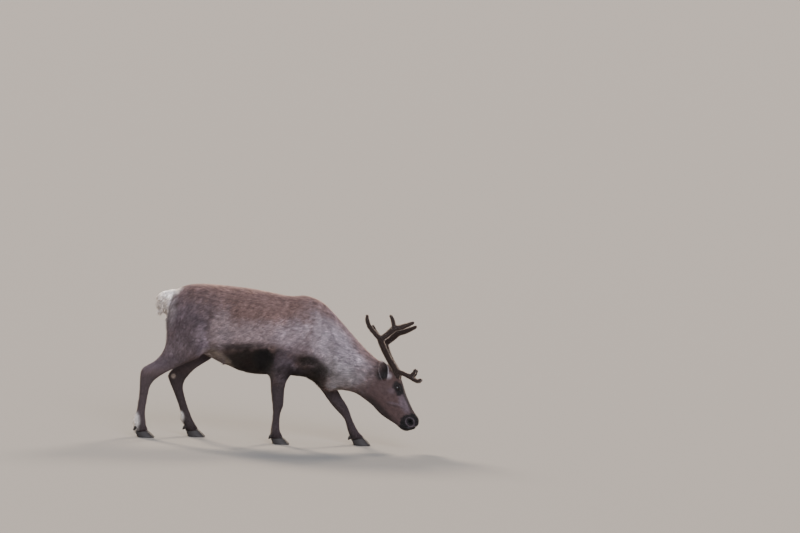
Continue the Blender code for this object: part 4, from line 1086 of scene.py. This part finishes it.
def unwrap(roots, strips):
    """A place on a flat map for each root. Each strip holds one part, unrolled round its length."""
    flat = np.empty((len(roots), 2))
    labels = np.unique(strips)
    for row, label in enumerate(labels):
        chosen = strips == label
        places = roots[chosen] - roots[chosen].mean(axis=0)
        other, one, along = (places @ np.linalg.eigh(places.T @ places)[1]).T
        along = (along - along.min()) / max(np.ptp(along), 1e-6)
        bins = np.clip((along * 24).astype(int), 0, 23)
        count = np.maximum(np.bincount(bins, minlength=24), 1)
        one = one - (np.bincount(bins, one, 24) / count)[bins]
        other = other - (np.bincount(bins, other, 24) / count)[bins]
        turn = np.arctan2(other, one) / math.pi
        flat[chosen] = np.stack([0.01 + 0.98 * along, (row + 0.5 + 0.48 * turn) / len(labels)], axis=1)
    return flat


def hair_mesh(name, template, roots, normals, lies, sizes, colours, sag, strips):
    """All the tufts as one mesh. Sizes are length, width and rise; each tuft bends over its lie."""
    shape, faces = template
    along, across, up = shape.T
    length, width, rise = (size[:, None] for size in sizes)
    side = np.cross(normals, lies)
    swell = np.sin(math.pi * (0.20 + 0.72 * along)) ** 0.8
    lifted = rise * (1 - (1 - along) ** 2) - ROOT_SUNK
    points = (
        roots[:, None] + lies[:, None] * (length * along)[..., None]
        + normals[:, None] * (lifted + up * swell * width * 0.5)[..., None]
        + side[:, None] * (across * swell * width)[..., None]
    )
    points[..., 2] -= sag[:, None] * length * along**2
    count, size = len(roots), len(shape)
    order = (faces[None] + np.arange(count)[:, None, None] * size).reshape(-1, 3)
    data = bpy.data.meshes.new(name)
    data.from_pydata(points.reshape(-1, 3), [], order.tolist())
    # Each tuft is painted darker at its root and paler at its tip: painted shade deep in the coat and
    # painted light at its surface.
    tips = 1 + 0.30 * (along[None, :, None] - 0.35)
    paint(data, "coat", (colours[:, None] * tips).reshape(-1, 3))
    patch = np.stack([along - 0.5, across], axis=1) * PATCH
    corners = (unwrap(roots, strips)[:, None] + patch).reshape(-1, 2)[order.ravel()]
    layer = data.uv_layers.new(name="OFBake")
    layer.data.foreach_set("uv", np.ascontiguousarray(corners, dtype=np.float32).ravel())
    data.shade_smooth()
    return linked(data, name)


Coat = namedtuple("Coat", "name holds short slot seed")


def piece_label(points):
    """Which piece of the coat each place belongs to."""
    built = unshifted(points)
    x, y = built[:, 0], built[:, 1]
    legs = leg_share(built) > 0.5
    tail = tail_share(built) > 0.5
    head = (ahead_of(built, POLL_LINE) > 0) & ~legs
    neck = (ahead_of(built, NECK_LINE) > 0) & ~legs & ~head
    side = np.where(y > 0, "left", "right")
    end = np.where(x > TRUNK_PARTS_AT, "fore", "hind")
    names = np.char.add(np.char.add(end, "_"), side)
    names = np.where(legs, np.where(x > LEGS_PART_AT, "legs_fore", "legs_hind"), names)
    names = np.where(head, "head", np.where(neck, "neck", names))
    return np.where(tail, "tail", names)


COATS = (
    Coat("coat_fore_left", "fore_left", False, "coat_grey", 31),
    Coat("coat_fore_right", "fore_right", False, "coat_grey", 32),
    Coat("coat_hind_left", "hind_left", False, "coat_grey", 33),
    Coat("coat_hind_right", "hind_right", False, "coat_grey", 34),
    Coat("coat_neck", "neck", False, "coat_grey", 35),
    Coat("coat_head", "head", True, "coat_grey", 36),
    Coat("coat_legs_fore", "legs_fore", True, "coat_dark", 37),
    Coat("coat_legs_hind", "legs_hind", True, "coat_dark", 38),
)


def make_coat():
    """The tufts of trunk, neck, head and legs, in the pieces of the coat."""
    settings = bpy.context.scene.reindeer_coat
    data = bpy.data.objects["skin"].data
    points, normals, triangles = surface_of(data)
    middles = points[triangles].mean(axis=1)
    labels = piece_label(middles)
    haired = 1 - bareness(middles)
    down = normals[triangles].mean(axis=1)[:, 2] < -0.9
    haired *= 1 - down * (middles[:, 2] < 0.06)
    on_muzzle = smooth_step(0.78, 0.86, straight(middles)[:, 0])
    hair = hair_material("deer_hair", sheen=0.14, roughness=0.72, strand_mm=2.0)
    for coat in COATS:
        rng = np.random.default_rng(coat.seed)
        chosen = labels == coat.holds
        denser = 1 + 1.2 * on_muzzle * (coat.holds == "head")
        count = settings.short_tufts if coat.short else settings.tufts
        roots, out = scatter(points, normals, triangles[chosen], (haired * denser)[chosen], count, rng)
        grow_tufts(coat.name, 1, roots, out, lie_of_coat(roots, out), hair, rng)


def map_strips(roots, out):
    """Which strip of the flat map each root is on: the trunk, either leg, either side of either ear."""
    built, face = unshifted(roots), straight(roots)
    left = built[:, 1] > 0
    ears = ear_share(face) > 0.5
    facing = out[:, 1] * np.where(left, 1, -1) > 0
    legs = leg_share(built) > 0.5
    return np.where(ears, 3 + 2 * left + facing, np.where(legs, 1 + left, 0))


def grow_tufts(name, rings, roots, out, lies, material, rng):
    """A piece of the coat from its roots and their lie, with lengths and colours from their places."""
    count = len(roots)
    length = hair_length(roots) * rng.uniform(0.75, 1.2, count)
    width = 0.0009 + 0.080 * length * rng.uniform(0.8, 1.3, count)
    rise = hair_rise(roots) * rng.uniform(0.6, 1.2, count)
    lies = unit(lies + np.cross(out, lies) * rng.normal(0, 0.13, (count, 1)))
    # Each tuft's colour is that of a place near its middle, so that the marks' edges are ragged.
    middles = roots + lies * (0.4 * length)[:, None] + rng.normal(0, 0.12, (count, 3)) * length[:, None]
    colours = markings(middles, out) * np.exp(rng.normal(0, 0.30, (count, 1)))
    sag = 3.0 * np.clip(length - 0.036, 0, 0.05)
    sizes = (length, width, rise)
    strips = map_strips(roots, out)
    obj = hair_mesh(name, tuft_template(rings), roots, out, lies, sizes, colours, sag, strips)
    obj.data.materials.append(material)
    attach(obj, "root")


def make_tail():
    """The long hair of the tail."""
    data = bpy.data.objects["skin"].data
    points, normals, triangles = surface_of(data)
    wanted = tail_share(unshifted(points[triangles].mean(axis=1)))
    rng = np.random.default_rng(41)
    roots, out = scatter(points, normals, triangles, wanted, TAIL_LOCKS, rng)
    hair = hair_material("long_white_hair", sheen=0.35, roughness=0.6, strand_mm=3.0)
    # The locks hang as the tail does, also past its end, where the skin turns under.
    flow = unit(tail_flow(unshifted(roots)) + 0.30 * out)
    across = out - flow * (out * flow).sum(axis=1, keepdims=True)
    out = unit(across + (1 - np.linalg.norm(across, axis=1, keepdims=True)) * (-0.5, 0, 0))
    grow_tufts("coat_tail", 3, roots, out, flow, hair, rng)


# Antlers, eyes and hooves.
def make_antlers():
    """Each antler in one piece, slightly uneven, with its nap on it."""
    velvet, fuzz = velvet_material(), nap_material()
    for side in ("left", "right"):
        parts = ["antler_" + side + "_" + part for part in ANTLER_PARTS]
        foot, grows = beam_foot(side)
        mesh = sewn_copy(parts, 0.0007)
        add_ball(mesh, foot - grows * 0.008, ANTLER_FOOT_RADIUS)
        antler = object_from(mesh, "antler_" + side)
        fuse(antler, VELVET_VOXEL)
        relax(antler.data, 6, np.full(len(antler.data.vertices), 0.5))
        points = points_of(antler.data)
        bumps = 0.0005 * mottle(points, 0.012, 51) + 0.0003 * mottle(points, 0.005, 52)
        store_points(antler.data, points + normals_of(antler.data) * bumps[:, None])
        antler.data.shade_smooth()
        antler.data.materials.append(velvet)
        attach(antler, "root")
        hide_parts(*parts)
        make_nap(antler, side, foot, fuzz)


def make_nap(antler, side, foot, material):
    """The velvet's short nap, which lies towards the tips."""
    settings = bpy.context.scene.reindeer_horn
    data = antler.data
    points, normals, triangles = surface_of(data)
    rng = np.random.default_rng(61)
    roots, out = scatter(points, normals, triangles, np.ones(len(triangles)), NAP_TUFTS, rng)
    lies = unit(roots - np.array(foot))
    lies -= out * (lies * out).sum(axis=1, keepdims=True)
    lies = unit(lies + rng.normal(0, 0.25, (NAP_TUFTS, 3)))
    length = rng.uniform(0.0026, 0.0042, NAP_TUFTS)
    sizes = (length, np.full(NAP_TUFTS, 0.0009), rng.uniform(0.001, 0.0022, NAP_TUFTS))
    pale = rng.uniform(0, 1, (NAP_TUFTS, 1)) ** 2
    colours = np.array(settings.velvet) * (1 - pale) + np.array(settings.fuzz) * pale
    level = np.zeros(NAP_TUFTS)
    nap = hair_mesh(
        "velvet_nap_" + side, tuft_template(1), roots, out, lies, sizes, colours, level, level)
    nap.data.materials.append(material)
    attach(nap, "root")


def make_eyes():
    """Smooth eyeballs with a wide dark iris and a level, oval pupil."""
    settings = bpy.context.scene.reindeer_horn
    material = eye_material()
    for side, word in ((1, "left"), (-1, "right")):
        low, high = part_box("eye_" + word)
        centre = (low + high) / 2
        mesh = bmesh.new()
        bmesh.ops.create_uvsphere(mesh, u_segments=48, v_segments=32, radius=EYE_RADIUS)
        looks = Vector((EYE_LOOKS.x, side * EYE_LOOKS.y, EYE_LOOKS.z))
        looks = Matrix.Rotation(HEAD_TURN, 3, HEAD_DORSAL) @ looks
        level = looks.cross(Vector((0, 0, 1))).normalized()
        ways = np.array((looks, level, level.cross(looks)))
        local = np.array([vert.co for vert in mesh.verts]) @ ways.T / EYE_RADIUS
        bmesh.ops.translate(mesh, verts=mesh.verts, vec=centre)
        eye = object_from(mesh, "eyeball_" + word)
        eye.data.shade_smooth()
        radial = np.hypot(local[:, 1], local[:, 2])
        pupil = smooth_step(1.15, 0.9, np.hypot(local[:, 1] / PUPIL[0], local[:, 2] / PUPIL[1]))
        iris = np.tile(np.array(settings.iris), (len(local), 1)) * (0.55 + 0.6 * radial[:, None])
        rim = smooth_step(0.66, 0.78, radial) + (local[:, 0] < 0)
        colours = mixed(mixed(iris, linear("#050404"), pupil), linear("#1b1413"), np.clip(rim, 0, 1))
        paint(eye.data, "iris", colours)
        eye.data.materials.append(material)
        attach(eye, "root")
        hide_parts("eye_" + word)


def make_hooves():
    """Each foot's claws and dewclaws, with rounded edges."""
    horn = horn_material()
    for foot in FEET:
        parts = [foot + "_" + claw for claw in CLAWS]
        mesh = sewn_copy(parts)
        edges = [edge for edge in mesh.edges if edge.calc_face_angle(0.0) > math.radians(38)]
        bmesh.ops.bevel(
            mesh, geom=edges, offset=HOOF_EDGE, segments=3, profile=0.5, affect="EDGES", material=-1)
        hoof = object_from(mesh, "hoof_" + foot)
        subdivide(hoof, 1)
        hoof.data.shade_smooth()
        hoof.data.materials.clear()
        hoof.data.materials.append(horn)
        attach(hoof, "root")
        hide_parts(*parts)


# The stage.
def soft_light(name, comes_from, spread, strength, colour):
    """Even light from one side, as from a wide softbox far away."""
    data = bpy.data.lights.new(name, "SUN")
    data.angle = math.radians(spread)
    data.energy = strength
    data.color = linear(colour)
    light = bpy.data.objects.new(name, data)
    light.rotation_euler = (-Vector(comes_from)).to_track_quat("-Z", "Y").to_euler()
    bpy.context.scene.collection.objects.link(light)


def make_stage():
    """A pale floor, light from behind and a softer one from the front, and the camera."""
    settings = bpy.context.scene.reindeer_stage
    mesh = bmesh.new()
    bmesh.ops.create_circle(mesh, cap_ends=True, segments=96, radius=FLOOR_RADIUS)
    floor = object_from(mesh, "studio_floor")
    # Matt paint, pale and even, with no reflection of the animal.
    painted, _, shader = new_material("matt_floor_paint", Roughness=0.9, Specular_IOR_Level=0.2)
    shader.inputs["Base Color"].default_value = (*settings.floor, 1.0)
    floor.data.materials.append(painted)
    world = bpy.context.scene.world or bpy.data.worlds.new("studio_air")
    bpy.context.scene.world = world
    world.use_nodes = True
    sky = world.node_tree.nodes["Background"]
    sky.inputs["Color"].default_value = (*linear("#dfe5ee"), 1.0)
    sky.inputs["Strength"].default_value = 1.12
    soft_light("softbox_back_left", (-0.55, 0.80, 0.60), spread=14.0, strength=5.6, colour="#ffe9d2")
    soft_light("softbox_back_right", (0.50, 0.85, 0.55), spread=14.0, strength=3.6, colour="#ffe9d2")
    soft_light("softbox_front", (0.25, -0.90, 0.50), spread=30.0, strength=2.8, colour="#f2f1ff")
    place_camera(settings)


def place_camera(settings):
    """Looks along +Y and a little down, rolled by the slope of the ground."""
    data = bpy.data.cameras.new("camera")
    data.sensor_width = SENSOR_WIDTH
    data.lens = SENSOR_WIDTH * settings.distance / settings.view_width
    data.clip_end = 3 * FLOOR_RADIUS
    camera = bpy.data.objects.new("camera", data)
    right = Vector((1, 0, 0))
    up = Vector((0, math.sin(settings.elevation), math.cos(settings.elevation)))
    back = right.cross(up)
    rolled_right = right * math.cos(settings.roll) + up * math.sin(settings.roll)
    rolled_up = up * math.cos(settings.roll) - right * math.sin(settings.roll)
    turn = Matrix((rolled_right, rolled_up, back)).transposed().to_4x4()
    camera.matrix_world = Matrix.Translation(CAMERA_AIM + SHIFT + back * settings.distance) @ turn
    bpy.context.scene.collection.objects.link(camera)
    bpy.context.scene.camera = camera


class SkinOperator(bpy.types.Operator):
    """Makes the skin with ears, lids, lips and nostrils"""

    bl_idname = "reindeer.skin"
    bl_label = "Skin"

    def execute(self, context):
        make_skin()
        return {"FINISHED"}


class CoatOperator(bpy.types.Operator):
    """Grows the tufts of trunk, neck, head and legs"""

    bl_idname = "reindeer.coat"
    bl_label = "Coat"

    def execute(self, context):
        make_coat()
        return {"FINISHED"}


class TailOperator(bpy.types.Operator):
    """Grows the long white hair of the tail"""

    bl_idname = "reindeer.tail"
    bl_label = "Tail"

    def execute(self, context):
        make_tail()
        return {"FINISHED"}


class AntlerOperator(bpy.types.Operator):
    """Makes the antlers and their velvet"""

    bl_idname = "reindeer.antlers"
    bl_label = "Antlers"

    def execute(self, context):
        make_antlers()
        return {"FINISHED"}


class EyeOperator(bpy.types.Operator):
    """Makes the eyes"""

    bl_idname = "reindeer.eyes"
    bl_label = "Eyes"

    def execute(self, context):
        make_eyes()
        return {"FINISHED"}


class HoofOperator(bpy.types.Operator):
    """Makes the claws and dewclaws"""

    bl_idname = "reindeer.hooves"
    bl_label = "Hooves"

    def execute(self, context):
        make_hooves()
        return {"FINISHED"}


class StageOperator(bpy.types.Operator):
    """Makes the floor, the lights and the camera"""

    bl_idname = "reindeer.stage"
    bl_label = "Stage"

    def execute(self, context):
        make_stage()
        return {"FINISHED"}


STEPS = (
    SkinOperator, CoatOperator, TailOperator, AntlerOperator, EyeOperator, HoofOperator, StageOperator,
)


class ReindeerPanel(bpy.types.Panel):
    """Lists the reindeer's pieces and their settings."""

    bl_idname = "VIEW3D_PT_reindeer"
    bl_label = "Reindeer"
    bl_space_type = "VIEW_3D"
    bl_region_type = "UI"
    bl_category = "Reindeer"

    def draw(self, context):
        for step in STEPS:
            self.layout.operator(step.bl_idname)
        for group in ("reindeer_coat", "reindeer_horn", "reindeer_stage"):
            settings = getattr(context.scene, group)
            column = self.layout.column()
            for name in settings.__annotations__:
                column.prop(settings, name)


CLASSES = (CoatSettings, HornSettings, StageSettings, *STEPS, ReindeerPanel)


def register():
    for cls in CLASSES:
        bpy.utils.register_class(cls)
    bpy.types.Scene.reindeer_coat = bpy.props.PointerProperty(type=CoatSettings)
    bpy.types.Scene.reindeer_horn = bpy.props.PointerProperty(type=HornSettings)
    bpy.types.Scene.reindeer_stage = bpy.props.PointerProperty(type=StageSettings)


def unregister():
    del bpy.types.Scene.reindeer_stage
    del bpy.types.Scene.reindeer_horn
    del bpy.types.Scene.reindeer_coat
    for cls in reversed(CLASSES):
        bpy.utils.unregister_class(cls)


def main():
    register()
    bpy.ops.reindeer.skin()
    bpy.ops.reindeer.coat()
    bpy.ops.reindeer.tail()
    bpy.ops.reindeer.antlers()
    bpy.ops.reindeer.eyes()
    bpy.ops.reindeer.hooves()
    bpy.ops.reindeer.stage()


if __name__ == "__main__":
    main()
